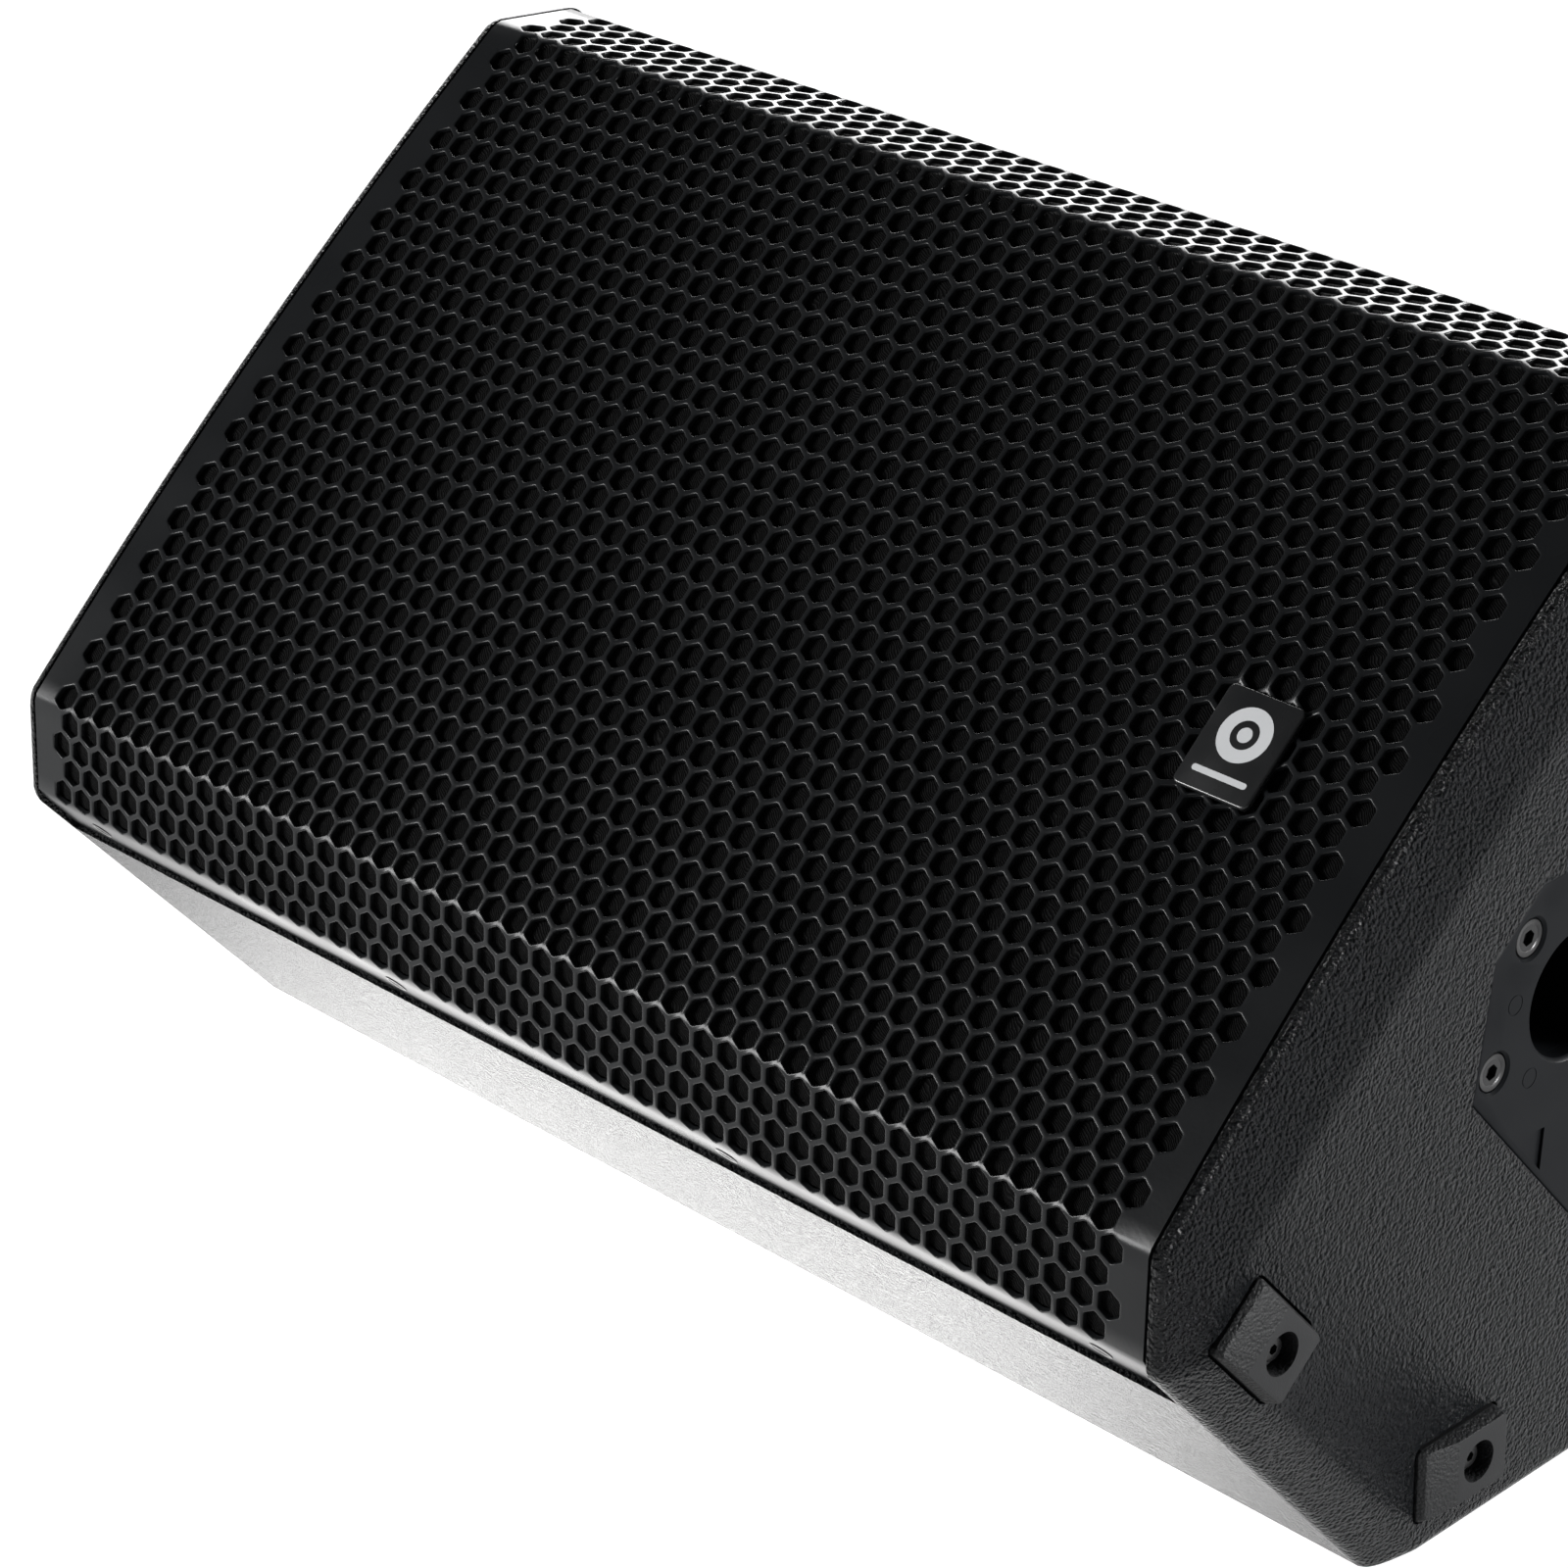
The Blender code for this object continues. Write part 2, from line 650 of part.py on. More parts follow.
def plate_outline(grow=0.0):
    middle = POLE_V + POLE_SPACING / 2
    half = middle - PLATE_START
    shoulder = middle - PLATE_SHOULDER
    points = [
        (half, -PLATE_HALF_SHORT), (half, PLATE_HALF_SHORT), (shoulder, PLATE_HALF_LONG),
        (-shoulder, PLATE_HALF_LONG), (-half, PLATE_HALF_SHORT), (-half, -PLATE_HALF_SHORT),
        (-shoulder, -PLATE_HALF_LONG), (shoulder, -PLATE_HALF_LONG),
    ]
    return offset_outline(points, [-grow] * len(points))


def pole_screw_places():
    middle = POLE_V + POLE_SPACING / 2
    places = []
    for y, reach in POLE_SCREWS:
        for end in (-1, 1):
            for flip in ((1,) if y == 0.0 else (1, -1)):
                places.append((middle + end * reach, flip * y))
    return places


def pole_plate(side):
    middle = POLE_V + POLE_SPACING / 2
    top = -GAP
    shape = prism(plate_outline(), top - PLATE_THICKNESS, top, "Z")
    plate = make("pole_plate", shape, "moulded_black", side, (middle, 0.0, 0.0))
    for number, turn in enumerate((0.0, POLE_TILT)):
        place = (POLE_V + number * POLE_SPACING, 0.0, 0.0)
        hole = rod(POLE_BORE, -0.030, 0.010, ROUND)
        cut(plate, guide(f"plate_bore_{number}", hole, side, place, (0.0, -turn, 0.0)))
    for number, (x, y) in enumerate(pole_screw_places()):
        hole = turned(PLATE_SCREW_HOLE_PROFILE, TINY, closed=False)
        cut(plate, guide(f"plate_screw_hole_{number}", hole, side, (x, y, -GAP)))
    return plate


def pole_cup(name, number, side):
    """A blind cup behind the plate, whose mouth meets the plate's back."""
    turn = number * POLE_TILT
    outer = POLE_BORE + POLE_WALL
    mouth = -(PLATE_THICKNESS + 2 * GAP)
    top = 0.004
    profile = [
        (0.0, -POLE_DEPTH), (outer, -POLE_DEPTH), (outer, top), (POLE_BORE, top),
        (POLE_BORE, POLE_WALL - POLE_DEPTH), (0.0, POLE_WALL - POLE_DEPTH),
    ]
    place = (POLE_V + number * POLE_SPACING, 0.0, 0.0)
    cup = make(name, turned(profile, ROUND, closed=False), "moulded_black", side, place,
               (0.0, -turn, 0.0))
    trim = box((-0.05, -0.05, mouth), (0.05, 0.05, 0.02))
    cut(cup, guide(f"{name}_trim", trim, side, place))
    return cup


def cup_opening(panel, side):
    middle = POLE_V + POLE_SPACING / 2
    recess = prism(plate_outline(GAP), -PLATE_THICKNESS - 2 * GAP, 0.010, "Z")
    cut(panel, guide("plate_recess", recess, side, (middle, 0.0, 0.0)))
    reach = POLE_SPACING / 2 + POLE_BORE + POLE_WALL + 0.0030
    slot = prism(octagon(reach, POLE_BORE + POLE_WALL + 0.0010, 0.006), -0.030, 0.010, "Z")
    cut(panel, guide("cup_slot", slot, side, (middle + 0.0010, 0.0, 0.0)))


def side_foot_outline(grow):
    half = SIDE_FOOT_LENGTH / 2 + grow
    wide = SIDE_FOOT_WIDTH / 2 + grow
    return octagon(half, wide, SIDE_FOOT_CORNER)


def side_feet(panel, side):
    for number, (x, y, turn) in enumerate(SIDE_FEET, start=1):
        place = (x, y, 0.0)
        pocket = prism(side_foot_outline(SIDE_FOOT_POCKET_GAP), -SIDE_FOOT_SUNK - GAP, BEYOND, "Z")
        cut(panel, guide(f"foot_pocket_{number}", pocket, side, place, (0.0, 0.0, turn)))
        shape = prism(side_foot_outline(0.0), -SIDE_FOOT_SUNK, SIDE_FOOT_PROUD, "Z")
        foot = make(f"side_foot_{number}", shape, "rubber", side, place, (0.0, 0.0, turn))
        half = SIDE_FOOT_LENGTH / 2
        fold = SIDE_FOOT_FOLD
        above = SIDE_FOOT_PROUD + BEYOND
        slope = [
            (SIDE_FOOT_PROUD, fold), (above, fold), (above, -half - BEYOND),
            (SIDE_FOOT_THIN_END, -half - BEYOND), (SIDE_FOOT_THIN_END, -half),
        ]
        wedge = prism(slope, -BEYOND, BEYOND, "Y")
        cut(foot, guide(f"foot_slope_{number}", wedge, side, place, (0.0, 0.0, turn)))
        bore = rod(SIDE_FOOT_BORE, SIDE_FOOT_BORE_FLOOR, BEYOND, SMALL)
        along = Vector((cos(turn), sin(turn), 0.0))
        centre = Vector((x, y, 0.0)) + SIDE_FOOT_BORE_PLACE * along
        cut(foot, guide(f"foot_bore_{number}", bore, side, centre))


# Left side: recessed bar handle.

def handle(panel, side):
    place = (POLE_V + POLE_SPACING / 2, 0.0, 0.0)
    half_x, half_y = HANDLE_HALF
    window = octagon(half_x + GAP, half_y + GAP, 0.012)
    cut(panel, guide("handle_window", prism(window, -0.030, 0.010, "Z"), side, place))
    bowl = prism(octagon(half_x, half_y, 0.012), -HANDLE_DEPTH, GAP, "Z")
    cup = make("handle_cup", bowl, "moulded_black", side, place)
    lip = prism(octagon(half_x + HANDLE_LIP, half_y + HANDLE_LIP, 0.014), GAP, SIDE_FOOT_PROUD, "Z")
    lip_guide = guide("handle_lip", lip, side, place)
    join(cup, lip_guide)
    hollow = octagon(half_x - HANDLE_WALL, half_y - HANDLE_WALL, 0.011)
    cut(cup, guide("handle_hollow", prism(hollow, HANDLE_WALL - HANDLE_DEPTH, 0.010, "Z"), side, place))
    reach = half_x - HANDLE_WALL - GAP
    bar = prism(octagon(*HANDLE_BAR, 0.003), -reach, reach, "Y")
    make("handle_bar", bar, "moulded_black", side, (place[0], 0.0, -HANDLE_BAR_DROP), (0.0, 0.0, pi / 2))


# Feet under the base.

def base_feet(body):
    radius = BASE_FOOT_RADIUS
    profile = [
        (0.0, -BASE_FOOT_SKIN), (BASE_FOOT_BORE, -BASE_FOOT_SKIN), (BASE_FOOT_BORE, -FOOT_HEIGHT),
        (radius - BASE_FOOT_EDGE, -FOOT_HEIGHT), (radius, BASE_FOOT_EDGE - FOOT_HEIGHT),
        (radius, -GAP), (0.0, -GAP),
    ]
    corners = ((BASE_FOOT_X, 0), (-BASE_FOOT_X, 0), (BASE_FOOT_X, 1), (-BASE_FOOT_X, 1))
    for number, (x, end) in enumerate(corners, start=1):
        make(f"base_foot_{number}", turned(profile, SMALL, closed=False), "rubber", body,
             (x, base_foot_y(end), FOOT_HEIGHT))


def base_span():
    """World y of the base panel's front and rear edges."""
    front = -world_forward(-HALF_HEIGHT, -DEPTH)
    rear = -world_forward(0.0, -(DEPTH + HALF_HEIGHT * tan(TILT)))
    return front, rear


def base_foot_y(end):
    front, rear = base_span()
    return rear - BASE_FOOT_INSET if end else front + BASE_FOOT_INSET


# Amplifier tray, in the rear frame: x to the left as seen from behind, y up, z outwards.

def amp_tray(rear):
    flange = prism(octagon(*TRAY_FLANGE, 0.006), GAP, 0.0025, "Z")
    tray = make("amp_tray", flange, "panel_alloy", rear)
    body_x, body_y = TRAY_BODY
    body = box((-body_x, -body_y, TRAY_FLOOR - TRAY_SKIN), (body_x, body_y, 0.0012))
    join(tray, guide("tray_body", body, rear))
    dish_x, dish_y = TRAY_DISH
    dish = box((-dish_x, -dish_y, TRAY_FLOOR), (dish_x, dish_y, 0.010))
    cut(tray, guide("tray_dish", dish, rear))
    return tray


def floor_hole(tray, name, shape, rear, x, y):
    cut(tray, guide(name, shape, rear, (x, y, TRAY_FLOOR)))


def heatsink(rear):
    low = TRAY_FLOOR + GAP
    sink = make("heatsink", box((-0.152, -0.050, low), (-0.030, 0.050, low + 0.003)), "panel_alloy", rear)
    fins = 11
    for number in range(fins):
        y = -0.0475 + number * 0.0095
        fin = box((-0.1515, y - 0.0011, low + 0.001), (-0.0305, y + 0.0011, low + 0.012))
        join(sink, guide(f"heatsink_fin_{number}", fin, rear))
    return sink


def socket(name, x, tray, rear, latch):
    """A round chassis socket: a square flange on the tray floor and a barrel behind it."""
    place = (x, SOCKET_Y, TRAY_FLOOR)
    floor_hole(tray, f"{name}_hole", rod(0.0123, -0.010, 0.010, SMALL), rear, x, SOCKET_Y)
    flange = prism(octagon(0.0130, 0.0175, 0.002), GAP, 0.0018, "Z")
    body = make(name, flange, "socket_plastic", rear, place)
    barrel = rod(0.0118, -0.020, 0.0012, SMALL)
    join(body, guide(f"{name}_barrel", barrel, rear, place))
    mouth = rod(0.0097, -0.016, 0.010, SMALL)
    cut(body, guide(f"{name}_mouth", mouth, rear, place))
    if latch:
        slot = box((-0.0046, 0.0128, -0.010), (0.0046, 0.0162, 0.010))
        cut(body, guide(f"{name}_latch_slot", slot, rear, place))
        recess = box((-0.0052, 0.0100, -0.010), (0.0052, 0.0168, 0.010))
        floor_hole(tray, f"{name}_latch_hole", recess, rear, x, SOCKET_Y)
    return body


def latch_tab(name, x, rear):
    shape = box((-0.0042, 0.0132, -0.0020), (0.0042, 0.0158, 0.0048))
    return make(name, shape, "control_plastic", rear, (x, SOCKET_Y, TRAY_FLOOR))


def mains_inlet(tray, rear):
    x, y = INLET_PLACE
    place = (x, y, TRAY_FLOOR)
    floor_hole(tray, "inlet_hole", box((-0.0138, -0.0103, -0.01), (0.0138, 0.0103, 0.01)), rear, x, y)
    flange = prism(octagon(0.0160, 0.0125, 0.002), GAP, 0.0022, "Z")
    inlet = make("mains_inlet", flange, "socket_plastic", rear, place)
    body = box((-0.0135, -0.0100, -0.020), (0.0135, 0.0100, 0.0015))
    join(inlet, guide("inlet_body", body, rear, place))
    mouth = prism(octagon(0.0120, 0.0083, 0.003), -0.0165, 0.010, "Z")
    cut(inlet, guide("inlet_mouth", mouth, rear, place))
    return inlet


def power_rocker(tray, rear):
    x, y = ROCKER_PLACE
    floor_hole(tray, "rocker_hole", box((-0.0068, -0.0115, -0.01), (0.0068, 0.0115, 0.01)), rear, x, y)
    place = (x, y, TRAY_FLOOR)
    rim = make("rocker_frame", box((-0.0085, -0.0135, GAP), (0.0085, 0.0135, 0.0020)),
               "socket_plastic", rear, place)
    body = box((-0.0065, -0.0112, -0.012), (0.0065, 0.0112, 0.0015))
    join(rim, guide("rocker_body", body, rear, place))
    well = box((-0.0052, -0.0097, -0.0100), (0.0052, 0.0097, 0.010))
    cut(rim, guide("rocker_well", well, rear, place))
    outline = [
        (-0.0080, -0.0025), (0.0080, -0.0025), (0.0085, 0.0042), (0.0, 0.0026), (-0.0085, 0.0042),
    ]
    paddle = prism(outline, -0.0049, 0.0049)
    pivot = (x, y, TRAY_FLOOR - 0.0005)
    return make("power_rocker", paddle, "rocker_plastic", rear, pivot, (ROCKER_SWING, 0.0, 0.0))


def knob(name, x, tray, rear):
    place = (x, KNOB_Y, TRAY_FLOOR)
    floor_hole(tray, f"{name}_hole", rod(0.0034, -0.010, 0.010, TINY), rear, x, KNOB_Y)
    body = make(name, turned(KNOB_PROFILE, SMALL, closed=False), "control_plastic", rear, place)
    rib = box(*KNOB_RIB)
    join(body, guide(f"{name}_rib", rib, rear, place))
    return body


def small_controls(tray, rear):
    x, y = SLIDE_PLACE
    floor_hole(tray, "slide_slot", box((-0.0062, -0.0023, -0.01), (0.0062, 0.0023, 0.01)), rear, x, y)
    tab = box((-0.0019, -0.0019, -0.0050), (0.0019, 0.0019, 0.0040))
    make("mode_switch", tab, "control_plastic", rear, (x - 0.0035, y, TRAY_FLOOR))
    x, y = BUTTON_PLACE
    floor_hole(tray, "button_hole", rod(0.0034, -0.010, 0.010, TINY), rear, x, y)
    make("select_button", rod(0.0030, -0.0060, 0.0040, TINY), "control_plastic", rear, (x, y, TRAY_FLOOR))
    x, y = LED_PLACE
    floor_hole(tray, "led_hole", rod(0.0018, -0.010, 0.010, TINY), rear, x, y)
    make("status_led", turned(LED_PROFILE, TINY, closed=False), "led_lens", rear, (x, y, TRAY_FLOOR))


def electronics(rear):
    make("circuit_board", box((-0.020, -0.046, -0.0416), (0.152, 0.046, -0.0400)), "board", rear)
    low = TRAY_FLOOR - TRAY_SKIN - GAP
    make("power_supply", box((-0.150, -0.044, low - 0.034), (-0.045, 0.044, low)), "supply_case", rear)


# World placing.

def world_forward(y, z):
    """Distance towards the listener of a face-frame point, before centring."""
    return -y * cos(TILT) + z * sin(TILT)


def world_height(y, z):
    return y * sin(TILT) + z * cos(TILT)


def face_origin():
    """Where the middle of the front lies, so that the cabinet stands centred on its feet."""
    outline = cabinet_outline()
    forwards = [world_forward(y, z) for y, z in outline]
    shift = (max(forwards) + min(forwards)) / 2
    height = FOOT_HEIGHT - min(world_height(y, z) for y, z in outline)
    return shift, height


def build():
    clear_scene()
    shift, height = face_origin()
    face = frame("face_frame", None, (0.0, shift, height), (TILT, 0.0, 0.0))
    middle_y = HALF_HEIGHT / 2
    middle_z = -(DEPTH + HALF_HEIGHT * tan(TILT) / 2)
    rear = frame("rear_frame", face, (0.0, middle_y, middle_z), (pi - TILT, 0.0, pi))
    right = frame("right_frame", face, (HALF_WIDTH, 0.0, 0.0), (0.0, pi / 2, 0.0))
    left = frame("left_frame", face, (-HALF_WIDTH, 0.0, 0.0), (pi, pi / 2, 0.0))
    axis = frame("driver_frame", face, (0.0, 0.0, -BAFFLE_FRONT))
    ground = frame("ground_frame", None, (0.0, shift, 0.0))

    panel = side_panel("side_panel_right", 1, face)
    cup_opening(panel, right)
    side_feet(panel, right)
    handle(side_panel("side_panel_left", -1, face), left)
    top_panel(face)
    under_panel(face)
    base_panel(face)
    rear_panel(face, rear)
    baffle_board(face)

    grille_sheet(face)
    grille_foam(face)
    grille_screws(face)
    badge_plate(face)

    driver_basket(axis)
    driver_trim(axis)
    woofer_surround(axis)
    woofer_cone(axis)
    woofer_spider(axis)
    voice_coil(axis)
    motor(axis)
    hf_section(axis)
    port_tube("port_tube_right", PORT_X, axis)
    port_tube("port_tube_left", -PORT_X, axis)
    damping_pad(face)

    pole_plate(right)
    pole_cup("pole_cup_upright", 0, right)
    pole_cup("pole_cup_tilted", 1, right)
    base_feet(ground)

    tray = amp_tray(rear)
    heatsink(rear)
    socket("input_socket_1", SOCKET_X[0], tray, rear, latch=True)
    socket("input_socket_2", SOCKET_X[1], tray, rear, latch=True)
    socket("link_socket", LINK_X, tray, rear, latch=False)
    latch_tab("latch_tab_1", SOCKET_X[0], rear)
    latch_tab("latch_tab_2", SOCKET_X[1], rear)
    mains_inlet(tray, rear)
    power_rocker(tray, rear)
    for number, x in enumerate(KNOB_X, start=1):
        knob(f"level_knob_{number}", x, tray, rear)
    small_controls(tray, rear)
    electronics(rear)


build()
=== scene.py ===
"""Looks for the stage monitor wedge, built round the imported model. Metres, +Z up."""

from math import atan2, cos, pi, radians, sin, sqrt, tan

import bmesh
import bpy
import numpy as np
from mathutils import Matrix, Vector


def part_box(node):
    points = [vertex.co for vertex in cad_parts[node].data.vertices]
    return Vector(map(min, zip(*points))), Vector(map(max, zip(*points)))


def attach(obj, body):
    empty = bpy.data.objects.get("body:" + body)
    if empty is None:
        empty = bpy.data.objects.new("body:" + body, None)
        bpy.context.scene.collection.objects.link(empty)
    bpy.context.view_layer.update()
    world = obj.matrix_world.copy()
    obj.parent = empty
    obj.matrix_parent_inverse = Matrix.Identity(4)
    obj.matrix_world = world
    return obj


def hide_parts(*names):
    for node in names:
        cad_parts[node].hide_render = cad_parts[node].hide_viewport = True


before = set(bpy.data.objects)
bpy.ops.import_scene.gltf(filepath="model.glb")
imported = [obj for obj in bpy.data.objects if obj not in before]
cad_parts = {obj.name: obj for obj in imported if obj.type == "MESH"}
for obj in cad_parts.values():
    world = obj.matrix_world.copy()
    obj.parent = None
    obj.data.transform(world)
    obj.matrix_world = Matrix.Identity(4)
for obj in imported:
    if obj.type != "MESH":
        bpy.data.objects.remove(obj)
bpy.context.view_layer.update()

# Driving dimensions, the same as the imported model's.
TILT = radians(40.0)
HALF_WIDTH = 0.2320
HALF_HEIGHT = 0.1475
DEPTH = 0.1600
ARC_HALF = 0.1246
BOW = 0.0048
FACET_SLOPE = radians(46.8)
WOOD = 0.015
GAP = 0.0003
FOOT_HEIGHT = 0.005
SHEET = 0.0015
GRILLE_HALF_WIDTH = 0.2213
GRILLE_SIDE_GAP = 0.0010
FLANGE_U = 0.1458
FLANGE_END = 0.0476
BAFFLE_FRONT = 0.033
REBATE_END = 0.0482
GRILLE_SCREW_X = (-0.2010, -0.0670, 0.0670, 0.2010)
GRILLE_SCREW_V = 0.0385
CHAMFER_RUN = 0.0067
CHAMFER_FRONT = 0.0225
CHAMFER_FACET = 0.0150
CHAMFER_UNDER = 0.0120
CHAMFER_BASE = 0.0040
POLE_BORE = 0.0180
POLE_WALL = 0.0022
POLE_DEPTH = 0.080
POLE_V = 0.0907
POLE_SPACING = 0.045
POLE_TILT = radians(7.0)
PLATE_THICKNESS = 0.005
PLATE_HALF_SHORT = 0.0117
PLATE_HALF_LONG = 0.0416
PLATE_START = 0.0517
PLATE_SHOULDER = 0.0765
POLE_SCREWS = ((0.0, 0.0532), (0.0314, 0.0355))
SIDE_FOOT_LENGTH = 0.0320
SIDE_FOOT_WIDTH = 0.0225
SIDE_FOOT_SUNK = 0.0030
SIDE_FOOT_PROUD = 0.0040
SIDE_FEET = (
    (0.05025, -0.1235, 0.0),
    (0.05025, 0.1235, 0.0),
    (0.15809, -0.11151, pi / 2 - TILT),
    (0.15809, 0.11151, TILT - pi / 2),
)
SIDE_FOOT_BORE_PLACE = 0.0048
HANDLE_HALF = (0.060, 0.034)
HANDLE_WALL = 0.0025
HANDLE_BAR_DROP = 0.0060
TRAY_BODY = (0.163, 0.059)
TRAY_FLOOR = -0.014
SOCKET_X = (0.010, 0.048)
LINK_X = 0.086
SOCKET_Y = 0.018
KNOB_X = (0.010, 0.042, 0.074)
KNOB_Y = -0.030
ROCKER_PLACE = (0.134, -0.028)
ROCKER_SWING = radians(8.0)
INLET_PLACE = (0.131, 0.022)
SLIDE_PLACE = (0.103, -0.032)
BUTTON_PLACE = (0.103, -0.012)

# Hexagon mesh.
PITCH = 0.009
ROW = PITCH * sqrt(3) / 2
ROWS = 40
HOLES_PER_ROW = 47
FIRST_HOLE_X = -0.20925
HOLE_HALF = 0.00363
RIM = 0.0004
BADGE_X = 0.1672
BADGE_HALF = (0.0125, 0.0151)


# Outlines.

def offset_outline(points, distances):
    """Each edge of an anticlockwise outline moved in by its own distance."""
    count = len(points)
    lines = []
    for i in range(count):
        a = Vector(points[i])
        along = (Vector(points[(i + 1) % count]) - a).normalized()
        lines.append((a + Vector((-along.y, along.x)) * distances[i], along))
    moved = []
    for i in range(count):
        a, da = lines[i - 1]
        b, db = lines[i]
        cross = da.x * db.y - da.y * db.x
        step = ((b.x - a.x) * db.y - (b.y - a.y) * db.x) / cross
        moved.append(tuple(a + da * step))
    return moved


def front_arc(steps):
    return [(ARC_HALF * (1 - 2 * i / steps), -BOW * (1 - 2 * i / steps) ** 2) for i in range(steps + 1)]


def facet_depth(half_height):
    return BOW + (half_height - ARC_HALF) * tan(FACET_SLOPE)


def cabinet_outline(steps=8):
    shoulder = -facet_depth(HALF_HEIGHT)
    shell = [
        (-HALF_HEIGHT, shoulder), (-HALF_HEIGHT, -DEPTH), (0.0, -(DEPTH + HALF_HEIGHT * tan(TILT))),
        (HALF_HEIGHT, -DEPTH), (HALF_HEIGHT, shoulder),
    ]
    return shell + front_arc(steps)


def octagon(half_x, half_y, corner):
    return [
        (half_x - corner, -half_y), (half_x, -half_y + corner),
        (half_x, half_y - corner), (half_x - corner, half_y),
        (-half_x + corner, half_y), (-half_x, half_y - corner),
        (-half_x, -half_y + corner), (-half_x + corner, -half_y),
    ]


def rounded(half_x, half_y, radius, steps=5):
    """A rectangle with round corners, anticlockwise."""
    points = []
    for sx, sy, start in ((1, -1, -pi / 2), (1, 1, 0.0), (-1, 1, pi / 2), (-1, -1, pi)):
        for i in range(steps + 1):
            angle = start + pi / 2 * i / steps
            points.append((sx * (half_x - radius) + radius * cos(angle),
                           sy * (half_y - radius) + radius * sin(angle)))
    return points


def circle(radius, steps):
    return [(radius * cos(2 * pi * i / steps), radius * sin(2 * pi * i / steps)) for i in range(steps)]



def plate_outline(grow=0.0):
    half = POLE_V + POLE_SPACING / 2 - PLATE_START
    shoulder = POLE_V + POLE_SPACING / 2 - PLATE_SHOULDER
    points = [
        (half, -PLATE_HALF_SHORT), (half, PLATE_HALF_SHORT), (shoulder, PLATE_HALF_LONG),
        (-shoulder, PLATE_HALF_LONG), (-half, PLATE_HALF_SHORT), (-half, -PLATE_HALF_SHORT),
        (-shoulder, -PLATE_HALF_LONG), (shoulder, -PLATE_HALF_LONG),
    ]
    return offset_outline(points, [-grow] * len(points))


# Frames.

def face_frame():
    outline = cabinet_outline()
    forwards = [-y * cos(TILT) + z * sin(TILT) for y, z in outline]
    heights = [y * sin(TILT) + z * cos(TILT) for y, z in outline]
    place = (0.0, (max(forwards) + min(forwards)) / 2, FOOT_HEIGHT - min(heights))
    return shift(place) @ Matrix.Rotation(TILT, 4, "X")


shift = Matrix.Translation


def placed(parent, place=(0.0, 0.0, 0.0), turn=(0.0, 0.0, 0.0)):
    matrix = shift(place)
    for axis, angle in zip("ZYX", reversed(turn)):
        matrix = matrix @ Matrix.Rotation(angle, 4, axis)
    return parent @ matrix


FACE = face_frame()
REAR = placed(FACE, (0.0, HALF_HEIGHT / 2, -(DEPTH + HALF_HEIGHT * tan(TILT) / 2)), (pi - TILT, 0.0, pi))
RIGHT = placed(FACE, (HALF_WIDTH, 0.0, 0.0), (0.0, pi / 2, 0.0))
LEFT = placed(FACE, (-HALF_WIDTH, 0.0, 0.0), (pi, pi / 2, 0.0))
DRIVER = placed(FACE, (0.0, 0.0, -BAFFLE_FRONT))


# Meshes.

def prism(outline, low, high, axis="Z"):
    place = {
        "X": lambda a, b, t: (t, a, b),
        "Y": lambda a, b, t: (b, t, a),
        "Z": lambda a, b, t: (a, b, t),
    }[axis]
    bm = bmesh.new()
    rings = [[bm.verts.new(place(a, b, level)) for a, b in outline] for level in (low, high)]
    bm.faces.new(list(reversed(rings[0])))
    bm.faces.new(rings[1])
    for i in range(len(outline)):
        j = (i + 1) % len(outline)
        bm.faces.new((rings[0][i], rings[0][j], rings[1][j], rings[1][i]))
    return bm


def loft(sections):
    bm = bmesh.new()
    rings = [[bm.verts.new(point) for point in section] for section in sections]
    bm.faces.new(list(reversed(rings[0])))
    bm.faces.new(rings[-1])
    for low, high in zip(rings, rings[1:]):
        for i in range(len(low)):
            j = (i + 1) % len(low)
            bm.faces.new((low[i], low[j], high[j], high[i]))
    return bm


def turned(profile, steps):
    """A profile of (radius, height) points spun about Z: from axis to axis, or a closed ring."""
    bm = bmesh.new()
    rings = []
    for radius, height in profile:
        if radius < 1e-7:
            rings.append([bm.verts.new((0.0, 0.0, height))])
        else:
            rings.append([bm.verts.new((radius * cos(2 * pi * i / steps), radius * sin(2 * pi * i / steps),
                                        height)) for i in range(steps)])
    pairs = list(zip(rings, rings[1:]))
    if len(rings[0]) > 1:
        pairs.append((rings[-1], rings[0]))
    for low, high in pairs:
        for i in range(steps):
            j = (i + 1) % steps
            ring = [low[i % len(low)], low[j % len(low)], high[j % len(high)], high[i % len(high)]]
            face = list(dict.fromkeys(ring))
            if len(face) > 2:
                bm.faces.new(face)
    return bm


def box(low, high):
    return prism([(low[0], low[1]), (high[0], low[1]), (high[0], high[1]), (low[0], high[1])],
                 low[2], high[2])


def merged(*parts):
    """Several bmeshes, each already in place, as one."""
    whole = bmesh.new()
    for part in parts:
        mesh = bpy.data.meshes.new("part")
        part.to_mesh(mesh)
        part.free()
        whole.from_mesh(mesh)
        bpy.data.meshes.remove(mesh)
    return whole


def moved(bm, matrix):
    bmesh.ops.transform(bm, matrix=matrix, verts=bm.verts)
    return bm


def link(obj):
    bpy.context.scene.collection.objects.link(obj)
    return obj


def finish_solid(obj, material, smooth=32.0):
    obj.data.shade_smooth()
    obj.data.set_sharp_from_angle(angle=radians(smooth))
    obj.data.materials.clear()
    obj.data.materials.append(material)


def new_object(name, bm, matrix=Matrix()):
    bm.transform(matrix)
    bmesh.ops.recalc_face_normals(bm, faces=bm.faces)
    mesh = bpy.data.meshes.new(name)
    bm.to_mesh(mesh)
    bm.free()
    return link(bpy.data.objects.new(name, mesh))


def mesh_of(obj):
    """An object's mesh, without the object."""
    mesh = obj.data
    bpy.data.objects.remove(obj)
    return mesh


